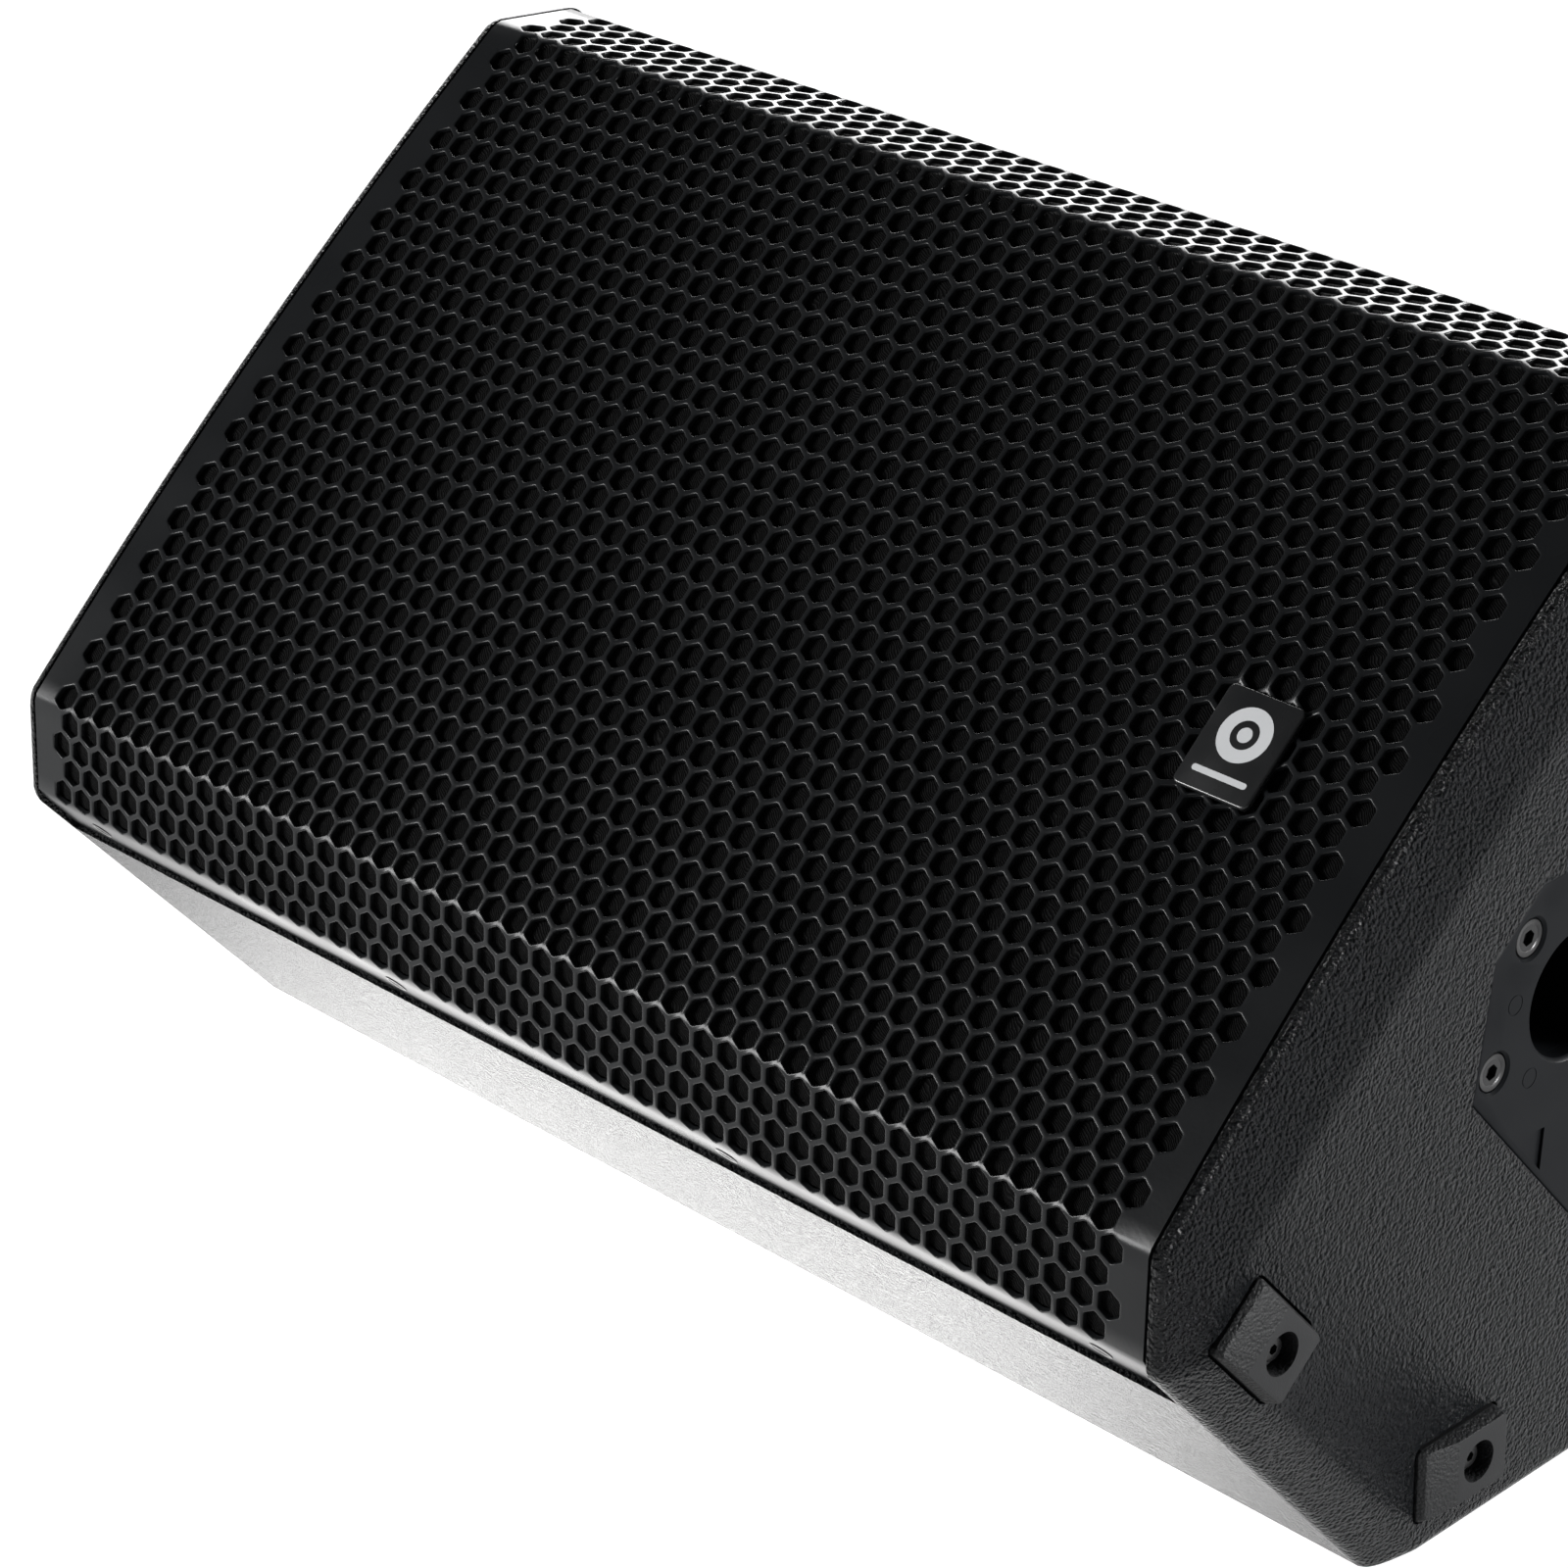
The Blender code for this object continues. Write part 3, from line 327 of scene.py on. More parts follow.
def piece(name, bm, matrix, material, body="cabinet", replaces=(), smooth=35.0):
    """A visible piece that rides on a body."""
    obj = new_object(name, bm, matrix)
    finish_solid(obj, material, smooth)
    settle(obj, body, replaces)
    return obj


def settle(obj, body="cabinet", replaces=()):
    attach(obj, body)
    if replaces:
        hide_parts(*replaces)


def apply_modifiers(obj):
    graph = bpy.context.evaluated_depsgraph_get()
    mesh = bpy.data.meshes.new_from_object(obj.evaluated_get(graph))
    obj.modifiers.clear()
    old = obj.data
    obj.data = mesh
    bpy.data.meshes.remove(old)


def bevel(obj, width, segments=3, angle=30.0):
    step = obj.modifiers.new("bevel", "BEVEL")
    step.width = width
    step.segments = segments
    step.limit_method = "ANGLE"
    step.angle_limit = radians(angle)
    step.use_clamp_overlap = True


def carve(obj, cutters, operation="DIFFERENCE"):
    """Booleans with world-space bmeshes, applied at once."""
    guides = []
    for number, bm in enumerate(cutters):
        guide = new_object(f"guide_{number}", bm)
        step = obj.modifiers.new("cut", "BOOLEAN")
        step.operation = operation
        step.solver = "EXACT"
        step.object = guide
        guides.append(guide)
    apply_modifiers(obj)
    for guide in guides:
        bpy.data.objects.remove(guide)


# Materials.

def node(tree, kind, settings=None, **inputs):
    made = tree.nodes.new("ShaderNode" + kind)
    for key, value in (settings or {}).items():
        setattr(made, key, value)
    for key, value in inputs.items():
        # i0, i1 … are inputs by number, the rest by name.
        by_number = key[0] == "i" and key[1:].isdigit()
        plug = made.inputs[int(key[1:]) if by_number else key.replace("_", " ")]
        if isinstance(value, bpy.types.NodeSocket):
            tree.links.new(value, plug)
        else:
            plug.default_value = value
    return made


def maths(tree, operation, a, b=0.0):
    return node(tree, "Math", {"operation": operation}, i0=a, i1=b).outputs[0]


def ramp(tree, value, low, high, to_low=0.0, to_high=1.0):
    return node(tree, "MapRange", {"interpolation_type": "SMOOTHSTEP"}, Value=value, From_Min=low,
                From_Max=high, To_Min=to_low, To_Max=to_high).outputs["Result"]


def start(name, base, roughness, metallic=0.0, gloss=0.5):
    material = bpy.data.materials.new(name)
    material.use_nodes = True
    tree = material.node_tree
    shader = tree.nodes["Principled BSDF"]
    for key, value in (("Base Color", (*base, 1.0)), ("Roughness", roughness), ("Metallic", metallic),
                       ("Specular IOR Level", gloss)):
        shader.inputs[key].default_value = value
    spot = node(tree, "TexCoord").outputs["Object"]
    return material, tree, shader, spot


def noise(tree, spot, scale, detail=2.0, roughness=0.5, distortion=0.0):
    return node(tree, "TexNoise", None, Vector=spot, Scale=scale, Detail=detail, Roughness=roughness,
                Distortion=distortion).outputs[0]


def shifted(tree, spot, way, amount):
    return node(tree, "VectorMath", {"operation": "MULTIPLY_ADD"}, i0=way, i1=(amount,) * 3,
                i2=spot).outputs[0]


def mixed(tree, amount, a, b):
    return node(tree, "Mix", {"data_type": "RGBA"}, Factor=amount, i6=(*a, 1.0), i7=(*b, 1.0)).outputs[2]


def bump(tree, shader, height, distance):
    made = node(tree, "Bump", None, Height=height, Distance=distance, Strength=1.0)
    plug(tree, shader, "Normal", made.outputs["Normal"])


def plug(tree, shader, name, value):
    tree.links.new(value, shader.inputs[name])


def pebbled(name, base, light, scale, distance, roughness, gloss):
    """A sprayed coat: crinkled pebbles about a millimetre across, over long gentle waves."""
    material, tree, shader, spot = start(name, base, 0.5, 0.0, gloss)
    wobble = node(tree, "TexNoise", None, Vector=spot, Scale=scale * 0.8, Detail=1.0).outputs[1]
    bent = shifted(tree, spot, wobble, 0.7 / scale)
    cells = node(tree, "TexVoronoi", {"feature": "SMOOTH_F1"}, Vector=bent, Scale=scale, Smoothness=0.5,
                 Randomness=1.0).outputs["Distance"]
    lumps = maths(tree, "MULTIPLY", cells, -1.1)
    grain = noise(tree, spot, scale * 1.3, 3.0, 0.6)
    height = maths(tree, "ADD", lumps, maths(tree, "MULTIPLY", grain, 0.9))
    wave = noise(tree, spot, scale * 0.12, 2.0)
    height = maths(tree, "ADD", height, maths(tree, "MULTIPLY", wave, 0.5))
    bump(tree, shader, height, distance)
    plug(tree, shader, "Base Color", mixed(tree, ramp(tree, grain, 0.35, 0.7), base, light))
    plug(tree, shader, "Roughness", ramp(tree, grain, 0.3, 0.7, *roughness))
    return material


def powder(name, base, light, roughness, peel=900.0, distance=0.00002, metallic=0.0, gloss=0.5,
           rasp=0.5, patches=28.0):
    """A smooth satin paint with fine orange peel."""
    material, tree, shader, spot = start(name, base, roughness[0], metallic, gloss)
    bump(tree, shader, noise(tree, spot, peel, 2.0, rasp), distance)
    cloud = noise(tree, spot, patches, 3.0)
    plug(tree, shader, "Base Color", mixed(tree, cloud, base, light))
    plug(tree, shader, "Roughness", ramp(tree, cloud, 0.3, 0.7, *roughness))
    return material


def moulded(name, base, light, roughness, grain=2600.0, distance=0.000025, gloss=0.5):
    """Fine spark-eroded grain of a moulded plastic."""
    return powder(name, base, light, roughness, grain, distance, 0.0, gloss, 0.6, 60.0)


def knitted(name, base, light, gloss):
    """Black knitted cloth: curved threads about 0.7 mm apart."""
    material, tree, shader, spot = start(name, base, 0.9, 0.0, gloss)
    bend = node(tree, "TexNoise", None, Vector=spot, Scale=190.0, Detail=1.0).outputs[1]
    bent = shifted(tree, spot, bend, 0.0034)
    waves = node(tree, "TexWave", {"wave_type": "BANDS", "bands_direction": "DIAGONAL"}, Vector=bent,
                 Scale=560.0, Distortion=0.6, Detail=1.0, Detail_Scale=2.0).outputs[1]
    hair = noise(tree, spot, 2600.0, 2.0, 0.6)
    height = maths(tree, "ADD", waves, maths(tree, "MULTIPLY", hair, 0.6))
    bump(tree, shader, height, 0.0002)
    shade = maths(tree, "MULTIPLY", ramp(tree, waves, 0.6, 1.0), ramp(tree, hair, 0.35, 0.7))
    plug(tree, shader, "Base Color", mixed(tree, shade, base, light))
    return material


def fibrous(name, base, light, scale, distance):
    """Matted fibres: long bent streaks crossing each other."""
    material, tree, shader, spot = start(name, base, 0.9)
    bend = noise(tree, spot, scale * 0.4, 2.0, 0.5, 1.5)
    streaks = noise(tree, spot, scale, 4.0, 0.7, 3.5)
    height = maths(tree, "ADD", streaks, maths(tree, "MULTIPLY", bend, 0.5))
    bump(tree, shader, height, distance)
    plug(tree, shader, "Base Color", mixed(tree, ramp(tree, streaks, 0.3, 0.72), base, light))
    plug(tree, shader, "Roughness", ramp(tree, bend, 0.3, 0.7, 0.78, 0.98))
    return material


def wound(name, base, light):
    """Enamelled wire in close turns along the winding's axis."""
    material, tree, shader, spot = start(name, base, 0.3, 1.0)
    turn = node(tree, "Mapping", None, Vector=spot, Rotation=(-TILT, 0.0, 0.0))
    turns = node(tree, "TexWave", {"wave_type": "BANDS", "bands_direction": "Z"}, Vector=turn.outputs[0],
                 Scale=600.0, Distortion=0.1).outputs[1]
    bump(tree, shader, turns, 0.0001)
    plug(tree, shader, "Base Color", mixed(tree, turns, base, light))
    plug(tree, shader, "Roughness", ramp(tree, noise(tree, spot, 300.0), 0.3, 0.7, 0.24, 0.4))
    return material


PAINT = pebbled("coat_black", (0.0020, 0.0023, 0.0027), (0.0038, 0.0043, 0.0050), 860.0, 0.0018,
                (0.09, 0.18), 0.065)
GRILLE_PAINT = powder("grille_black", (0.0060, 0.0066, 0.0072), (0.0075, 0.0082, 0.0090), (0.26, 0.33),
                      gloss=0.17)
CLOTH = knitted("cloth_black", (0.0006, 0.0006, 0.0007), (0.016, 0.0165, 0.0165), gloss=0.08)
PLASTIC = moulded("plastic_black", (0.0032, 0.0035, 0.0040), (0.0044, 0.0048, 0.0054), (0.30, 0.40),
                  gloss=0.03)
RUBBER = moulded("rubber_black", (0.0060, 0.0062, 0.0066), (0.0085, 0.0088, 0.0093), (0.5, 0.62),
                 1500.0, 0.00006, gloss=0.10)
RUBBER_GRAIN = pebbled("rubber_grain", (0.0055, 0.0057, 0.0060), (0.0080, 0.0083, 0.0088), 1100.0,
                       0.00022, (0.4, 0.55), 0.10)
SCREW = powder("screw_black_oxide", (0.006, 0.006, 0.0065), (0.010, 0.010, 0.0105), (0.26, 0.36), 1800.0,
               0.00002, 0.6)
BADGE = moulded("badge_black", (0.008, 0.0085, 0.009), (0.010, 0.0105, 0.011), (0.22, 0.3), 1200.0, 0.00001)
MARK = powder("mark_white", (0.50, 0.51, 0.52), (0.56, 0.57, 0.58), (0.4, 0.5))
PANEL = powder("panel_black", (0.013, 0.0135, 0.014), (0.018, 0.0185, 0.019), (0.36, 0.46), 1500.0, 0.00003)
ANODISED = powder("fins_anodised", (0.020, 0.020, 0.021), (0.034, 0.034, 0.035), (0.30, 0.42), 3200.0,
                  0.00002, 0.7)
SOCKET = moulded("socket_black", (0.011, 0.011, 0.012), (0.015, 0.015, 0.016), (0.30, 0.42))
CONTROL = moulded("control_grey", (0.030, 0.030, 0.032), (0.042, 0.042, 0.044), (0.45, 0.6))
ROCKER = moulded("rocker_red", (0.30, 0.012, 0.012), (0.36, 0.020, 0.018), (0.25, 0.35), 1400.0, 0.00001)
LENS = moulded("lens_green", (0.04, 0.42, 0.09), (0.07, 0.52, 0.13), (0.10, 0.2), 900.0, 0.00001)
CONTACT = powder("contact_plated", (0.66, 0.63, 0.56), (0.74, 0.71, 0.64), (0.16, 0.28), 2600.0,
                 0.00001, 1.0)
CAST = powder("alloy_cast", (0.10, 0.10, 0.105), (0.16, 0.16, 0.165), (0.42, 0.58), 700.0, 0.00012, 0.8)
FERRITE = powder("ferrite_grey", (0.040, 0.040, 0.043), (0.066, 0.066, 0.070), (0.5, 0.66), 1100.0, 0.0001)
STEEL = powder("steel_plated", (0.46, 0.46, 0.44), (0.58, 0.58, 0.55), (0.24, 0.4), 520.0, 0.00003, 1.0)
DOME = powder("dome_titanium", (0.36, 0.36, 0.38), (0.46, 0.46, 0.48), (0.22, 0.34), 1500.0, 0.00001, 1.0)
TIMBER = powder("baffle_black", (0.008, 0.008, 0.0085), (0.014, 0.014, 0.015), (0.55, 0.7), 240.0, 0.00025)
BOARD = powder("board_green", (0.010, 0.085, 0.034), (0.020, 0.125, 0.052), (0.30, 0.42), 900.0, 0.00003)
PAPER = fibrous("cone_fibre", (0.016, 0.0155, 0.015), (0.040, 0.039, 0.037), 420.0, 0.00022)
SPIDER = fibrous("spider_weave", (0.24, 0.14, 0.045), (0.42, 0.28, 0.11), 900.0, 0.00020)
WOOL = fibrous("wool_grey", (0.10, 0.10, 0.10), (0.34, 0.34, 0.33), 260.0, 0.0016)
COPPER = wound("coil_copper", (0.42, 0.17, 0.08), (0.72, 0.36, 0.20))


# Cabinet.

def loft_box():
    """The whole cabinet's outside, with the wide chamfers at both ends."""
    outline = cabinet_outline(32)
    setbacks = [CHAMFER_UNDER, CHAMFER_BASE, CHAMFER_BASE, CHAMFER_UNDER, CHAMFER_FACET]
    setbacks += [CHAMFER_FRONT] * 32 + [CHAMFER_FACET]
    face = offset_outline(outline, setbacks)
    edge = HALF_WIDTH - CHAMFER_RUN
    levels = ((-HALF_WIDTH, face), (-edge, outline), (edge, outline), (HALF_WIDTH, face))
    return loft([[(x, y, z) for y, z in ring] for x, ring in levels])


def cabinet_cutters():
    outline = cabinet_outline()
    inner = offset_outline(outline, [WOOD] * len(outline))
    cavity = [(inner[0][0], -0.030), inner[1], inner[2], inner[3], (inner[3][0], -0.030)]
    cutters = [moved(prism(cavity, WOOD - HALF_WIDTH, HALF_WIDTH - WOOD, "X"), FACE)]
    pocket = GRILLE_HALF_WIDTH + GRILLE_SIDE_GAP
    floor = FLANGE_U - SHEET - 2 * GAP
    past = 0.010
    for low, high, depth in ((-HALF_HEIGHT - past, HALF_HEIGHT + past, -BAFFLE_FRONT),
                             (-HALF_HEIGHT - past, -floor, -REBATE_END),
                             (floor, HALF_HEIGHT + past, -REBATE_END)):
        cutters.append(moved(box((-pocket, low, depth), (pocket, high, 0.030)), FACE))
    middle = POLE_V + POLE_SPACING / 2
    plate = placed(RIGHT, (middle, 0.0, 0.0))
    cutters.append(moved(prism(plate_outline(GAP), -PLATE_THICKNESS - 2 * GAP, 0.010), plate))
    reach = POLE_SPACING / 2 + POLE_BORE + POLE_WALL + 0.0030
    cutters.append(moved(prism(octagon(reach, POLE_BORE + POLE_WALL + 0.0010, 0.006), -0.030, 0.010),
                         placed(RIGHT, (middle + 0.0010, 0.0, 0.0))))
    for x, y, turn in SIDE_FEET:
        outline = rounded(SIDE_FOOT_LENGTH / 2 + 0.0009, SIDE_FOOT_WIDTH / 2 + 0.0009, 0.0030)
        cutters.append(moved(prism(outline, -SIDE_FOOT_SUNK - GAP, 0.020),
                             placed(RIGHT, (x, y, 0.0), (0.0, 0.0, turn))))
    window = octagon(HANDLE_HALF[0] + GAP, HANDLE_HALF[1] + GAP, 0.012)
    cutters.append(moved(prism(window, -0.030, 0.010), placed(LEFT, (middle, 0.0, 0.0))))
    cutters.append(moved(box((-TRAY_BODY[0] - GAP, -TRAY_BODY[1] - GAP, -0.030),
                             (TRAY_BODY[0] + GAP, TRAY_BODY[1] + GAP, 0.010)), REAR))
    return cutters


def cabinet():
    shell = new_object("cabinet_shell", loft_box(), FACE)
    bevel(shell, 0.0026, 4, 9.0)
    apply_modifiers(shell)
    carve(shell, cabinet_cutters())
    finish_solid(shell, PAINT)
    settle(shell, replaces=("side_panel_left", "side_panel_right", "top_panel", "under_panel",
                            "base_panel", "rear_panel"))


# Grille.

def rounded_line(line, radii):
    """The line with an arc in place of some corners."""
    done = []
    for i, point in enumerate(line):
        if i not in radii:
            done.append(point)
            continue
        a, p, b = Vector(line[i - 1]), Vector(point), Vector(line[i + 1])
        into, out = (a - p).normalized(), (b - p).normalized()
        half = into.angle(out) / 2
        reach = radii[i] / tan(half)
        centre = p + (into + out).normalized() * (radii[i] / sin(half))
        done = [q for q in done if (Vector(q) - p).length > reach]
        first, last = p + into * reach - centre, p + out * reach - centre
        for t in (k / 8 for k in range(9)):
            spoke = (first * (1 - t) + last * t).normalized() * radii[i]
            done.append(tuple(centre + spoke))
    return done


def sheet_map():
    """The folded sheet's outer line, upper half: arc length from the centre, (y, z), outward normal."""
    line = [(0.0, 0.0)]
    for i in range(1, 101):
        y = ARC_HALF * i / 100
        line.append((y, -BOW * (y / ARC_HALF) ** 2))
    line += [(FLANGE_U, -facet_depth(FLANGE_U)), (FLANGE_U, -FLANGE_END)]
    line = np.array(rounded_line(line, {100: 0.0030, 101: 0.0016}))
    steps = np.hypot(*np.diff(line, axis=0).T)
    along = np.r_[0.0, np.cumsum(steps)]
    tangent = np.gradient(line, along, axis=0)
    tangent /= np.linalg.norm(tangent, axis=1)[:, None]
    normal = np.c_[-tangent[:, 1], tangent[:, 0]]
    return along, line, normal


SHEET_ALONG, SHEET_LINE, SHEET_NORMAL = sheet_map()
SHEET_END = float(SHEET_ALONG[-1])


def dimple(x, s):
    """How far the mesh is pressed in around the badge, from 0 to 1."""
    reach = 0.0030
    over_x = np.abs(x - BADGE_X) - BADGE_HALF[0] - 0.0002
    over_s = np.abs(s) - BADGE_HALF[1] - 0.0002
    distance = np.hypot(np.maximum(over_x, 0.0), np.maximum(over_s, 0.0))
    t = np.clip(1.0 - distance / reach, 0.0, 1.0)
    return t * t * (3 - 2 * t)


def on_sheet(points, press=0.0013):
    """(x, along, depth) points of the flat sheet, folded into the face frame."""
    x, s, depth = np.asarray(points, float).T
    side = np.abs(s)
    y = np.interp(side, SHEET_ALONG, SHEET_LINE[:, 0]) * np.sign(s)
    z = np.interp(side, SHEET_ALONG, SHEET_LINE[:, 1])
    ny = np.interp(side, SHEET_ALONG, SHEET_NORMAL[:, 0]) * np.sign(s)
    nz = np.interp(side, SHEET_ALONG, SHEET_NORMAL[:, 1])
    size = np.hypot(ny, nz)
    deep = depth + press * dimple(x, s)
    return np.c_[x, y - ny / size * deep, z - nz / size * deep]


def hole_ring(half, trim):
    """A hexagon of that half-width, flats along the sheet's rows, corners trimmed."""
    ring = []
    for i in range(6):
        angle = radians(60 * i + 30)
        corner = Vector((cos(angle), sin(angle))) * (half / cos(pi / 6))
        for turn in (-1, 1):
            other = radians(60 * (i + turn) + 30)
            towards = Vector((cos(other), sin(other))) * (half / cos(pi / 6)) - corner
            ring.append(corner + towards.normalized() * trim)
    return [(p.x, p.y) for p in ring]


def row_places():
    """(along, first x) of each row, from the top."""
    rows = []
    for k in range(ROWS):
        stagger = 0.0 if k % 2 else PITCH / 2
        rows.append((-(k - (ROWS - 1) / 2) * ROW, FIRST_HOLE_X + stagger))
    return rows


def grille_mesh():
    verts = []
    faces = []
    outer = {}

    def vertex(x, s, depth):
        verts.append((x, s, depth))
        return len(verts) - 1

    def shared(x, s, back):
        key = (round(x * 1e6 / 5), round(s * 1e6 / 5), back)
        if key not in outer:
            outer[key] = vertex(x, s, SHEET if back else 0.0)
        return outer[key]

    levels = [(RIM, 0.0), (RIM * 0.5, RIM * 0.134), (RIM * 0.134, RIM * 0.5), (0.0, RIM), (0.0, SHEET)]
    rings = [(hole_ring(HOLE_HALF + grow, 0.00042 + grow * 0.3), depth) for grow, depth in levels]
    cell = [(PITCH / 2 / cos(pi / 6) * cos(radians(60 * i + 30)),
             PITCH / 2 / cos(pi / 6) * sin(radians(60 * i + 30))) for i in range(6)]
    rows = row_places()
    for s, first in rows:
        for number in range(HOLES_PER_ROW):
            x = first + number * PITCH
            loops = [[vertex(x + a, s + b, depth) for a, b in ring] for ring, depth in rings]
            for high, low in zip(loops, loops[1:]):
                for i in range(12):
                    j = (i + 1) % 12
                    faces.append((high[i], low[i], low[j], high[j]))
            for loop, back in ((loops[0], False), (loops[-1], True)):
                hexagon = [shared(x + a, s + b, back) for a, b in cell]
                for i in range(6):
                    j = (i + 1) % 6
                    quad = (hexagon[i], loop[2 * i + 1], loop[(2 * i + 2) % 12], hexagon[j])
                    corner = (hexagon[i], loop[2 * i], loop[2 * i + 1])
                    faces += [quad, corner]
    border(rows, shared, faces)
    return np.array(verts), faces


def border(rows, shared, faces):
    """The plain edges of the sheet, out to its ends and down the flanges."""
    quarter = PITCH / 2 * tan(pi / 6)
    tip = PITCH / 2 / cos(pi / 6)
    edge = GRILLE_HALF_WIDTH
    last_x = (HOLES_PER_ROW - 1) * PITCH
    fold = rows[0][0] + tip + 0.0012
    flange = [fold, fold + 0.006, fold + 0.012, SHEET_END]
    for back in (False, True):
        def quad(*corners):
            faces.append([shared(*point, back) for point in corners])
        for side in (-1, 1):
            line = []
            for s, first in rows:
                x = first + PITCH / 2 + last_x if side > 0 else first - PITCH / 2
                line += [(x, s + quarter), (x, s - quarter)]
            for a, b in zip(line, line[1:]):
                quad(a, b, (side * edge, b[1]), (side * edge, a[1]))
        for end, (s, first) in ((1, rows[0]), (-1, rows[-1])):
            line = [(-edge, s + end * quarter), (first - PITCH / 2, s + end * quarter)]
            for number in range(HOLES_PER_ROW):
                x = first + number * PITCH
                line += [(x, s + end * tip), (x + PITCH / 2, s + end * quarter)]
            line.append((edge, s + end * quarter))
            for a, b in zip(line, line[1:]):
                quad(a, b, (b[0], end * flange[0]), (a[0], end * flange[0]))
                for low, high in zip(flange, flange[1:]):
                    quad((a[0], end * low), (b[0], end * low), (b[0], end * high), (a[0], end * high))


def grille():
    verts, faces = grille_mesh()
    mesh = bpy.data.meshes.new("grille_mesh")
    mesh.from_pydata(on_sheet(verts).tolist(), [], faces)
    bm = bmesh.new()
    bm.from_mesh(mesh)
    # Joins the front's outer rim to the back's.
    bmesh.ops.bridge_loops(bm, edges=[e for e in bm.edges if e.is_boundary])
    bpy.data.meshes.remove(mesh)
    piece("grille_mesh", bm, FACE, GRILLE_PAINT, replaces=("grille_sheet",),
          smooth=50.0)


def padded_sheet(under, over):
    """A closed skin over two grids of points of the same size."""
    bm = bmesh.new()
    under, over = [[[bm.verts.new(point) for point in row] for row in grid] for grid in (under, over)]
    rows, columns = len(under) - 1, len(under[0]) - 1
    for grid in (under, over):
        for r in range(rows):
            for c in range(columns):
                bm.faces.new((grid[r][c], grid[r][c + 1], grid[r + 1][c + 1], grid[r + 1][c]))
    rim = [(0, c) for c in range(columns)] + [(r, columns) for r in range(rows)]
    rim += [(rows, c) for c in range(columns, 0, -1)] + [(r, 0) for r in range(rows, 0, -1)]
    for (a, b), (c, d) in zip(rim, rim[1:] + rim[:1]):
        bm.faces.new((under[a][b], under[c][d], over[c][d], over[a][b]))
    return bm


def foam():
    """The cloth-faced foam behind the mesh."""
    columns = np.linspace(-0.2165, 0.2165, 160)
    stations = np.linspace(-0.1552, 0.1552, 120)
    front = SHEET + 0.0006
    sheets = []
    for depth in (front, front + 0.005):
        points = on_sheet([(x, s, depth) for s in stations for x in columns], 0.0016)
        sheets.append(points.reshape(len(stations), len(columns), 3))
    bm = padded_sheet(*sheets)
    obj = piece("grille_cloth_and_foam", bm, FACE, CLOTH, replaces=("grille_foam",),
                smooth=60.0)


# Screws.

def socketed(name, profile, flats, low, high):
    """A turned screw with a hexagon socket in its head, as a shared mesh."""
    obj = new_object(name, turned(profile, 32))
    carve(obj, [prism(circle(flats / 2 / cos(pi / 6), 6), low, high)])
    finish_solid(obj, SCREW, 28.0)
    return mesh_of(obj)


def flat_screw(name, head, height, flats, depth):
    """A countersunk screw; its head is at z = 0."""
    edge = head * 0.06
    profile = [(0.0, -height), (head * 0.5, -height), (head - edge * 0.3, -edge), (head - edge, 0.0),
               (head * 0.72, -0.0001), (head * 0.68, -0.00022), (0.0, -0.00022)]
    return socketed(name, profile, flats, -depth, 0.01)


def cap_screw(name, head, height, flats, depth):
    """A cylinder-head screw; its seat is at z = 0."""
    edge = head * 0.06
    profile = [(0.0, 0.0), (head, 0.0), (head, height - edge * 2), (head - edge, height - edge * 0.5),
               (head - edge * 2.2, height), (0.0, height)]
    return socketed(name, profile, flats, height - depth, height + 0.01)


def pan_screw(name, head, height, flats, depth):
    """A domed screw; its seat is at z = 0."""
    profile = [(0.0, 0.0), (head, 0.0), (head, height * 0.35)]
    for step in range(1, 6):
        angle = pi / 2 * step / 6
        profile.append((head * cos(angle), height * (0.35 + 0.65 * sin(angle))))
    profile.append((0.0, height))
    return socketed(name, profile, flats, height - depth, height + 0.01)


def put(name, mesh, matrix, replaces=()):
    """A copy of a shared mesh, its place worked into its own vertices."""
    own = mesh.copy()
    own.name = name
    own.transform(matrix)
    settle(link(bpy.data.objects.new(name, own)), replaces=replaces)


# Right side.

def pole_screw_places():
    middle = POLE_V + POLE_SPACING / 2
    return [(middle + end * reach, flip * y) for y, reach in POLE_SCREWS for end in (-1, 1)
            for flip in ((1,) if y == 0.0 else (1, -1))]


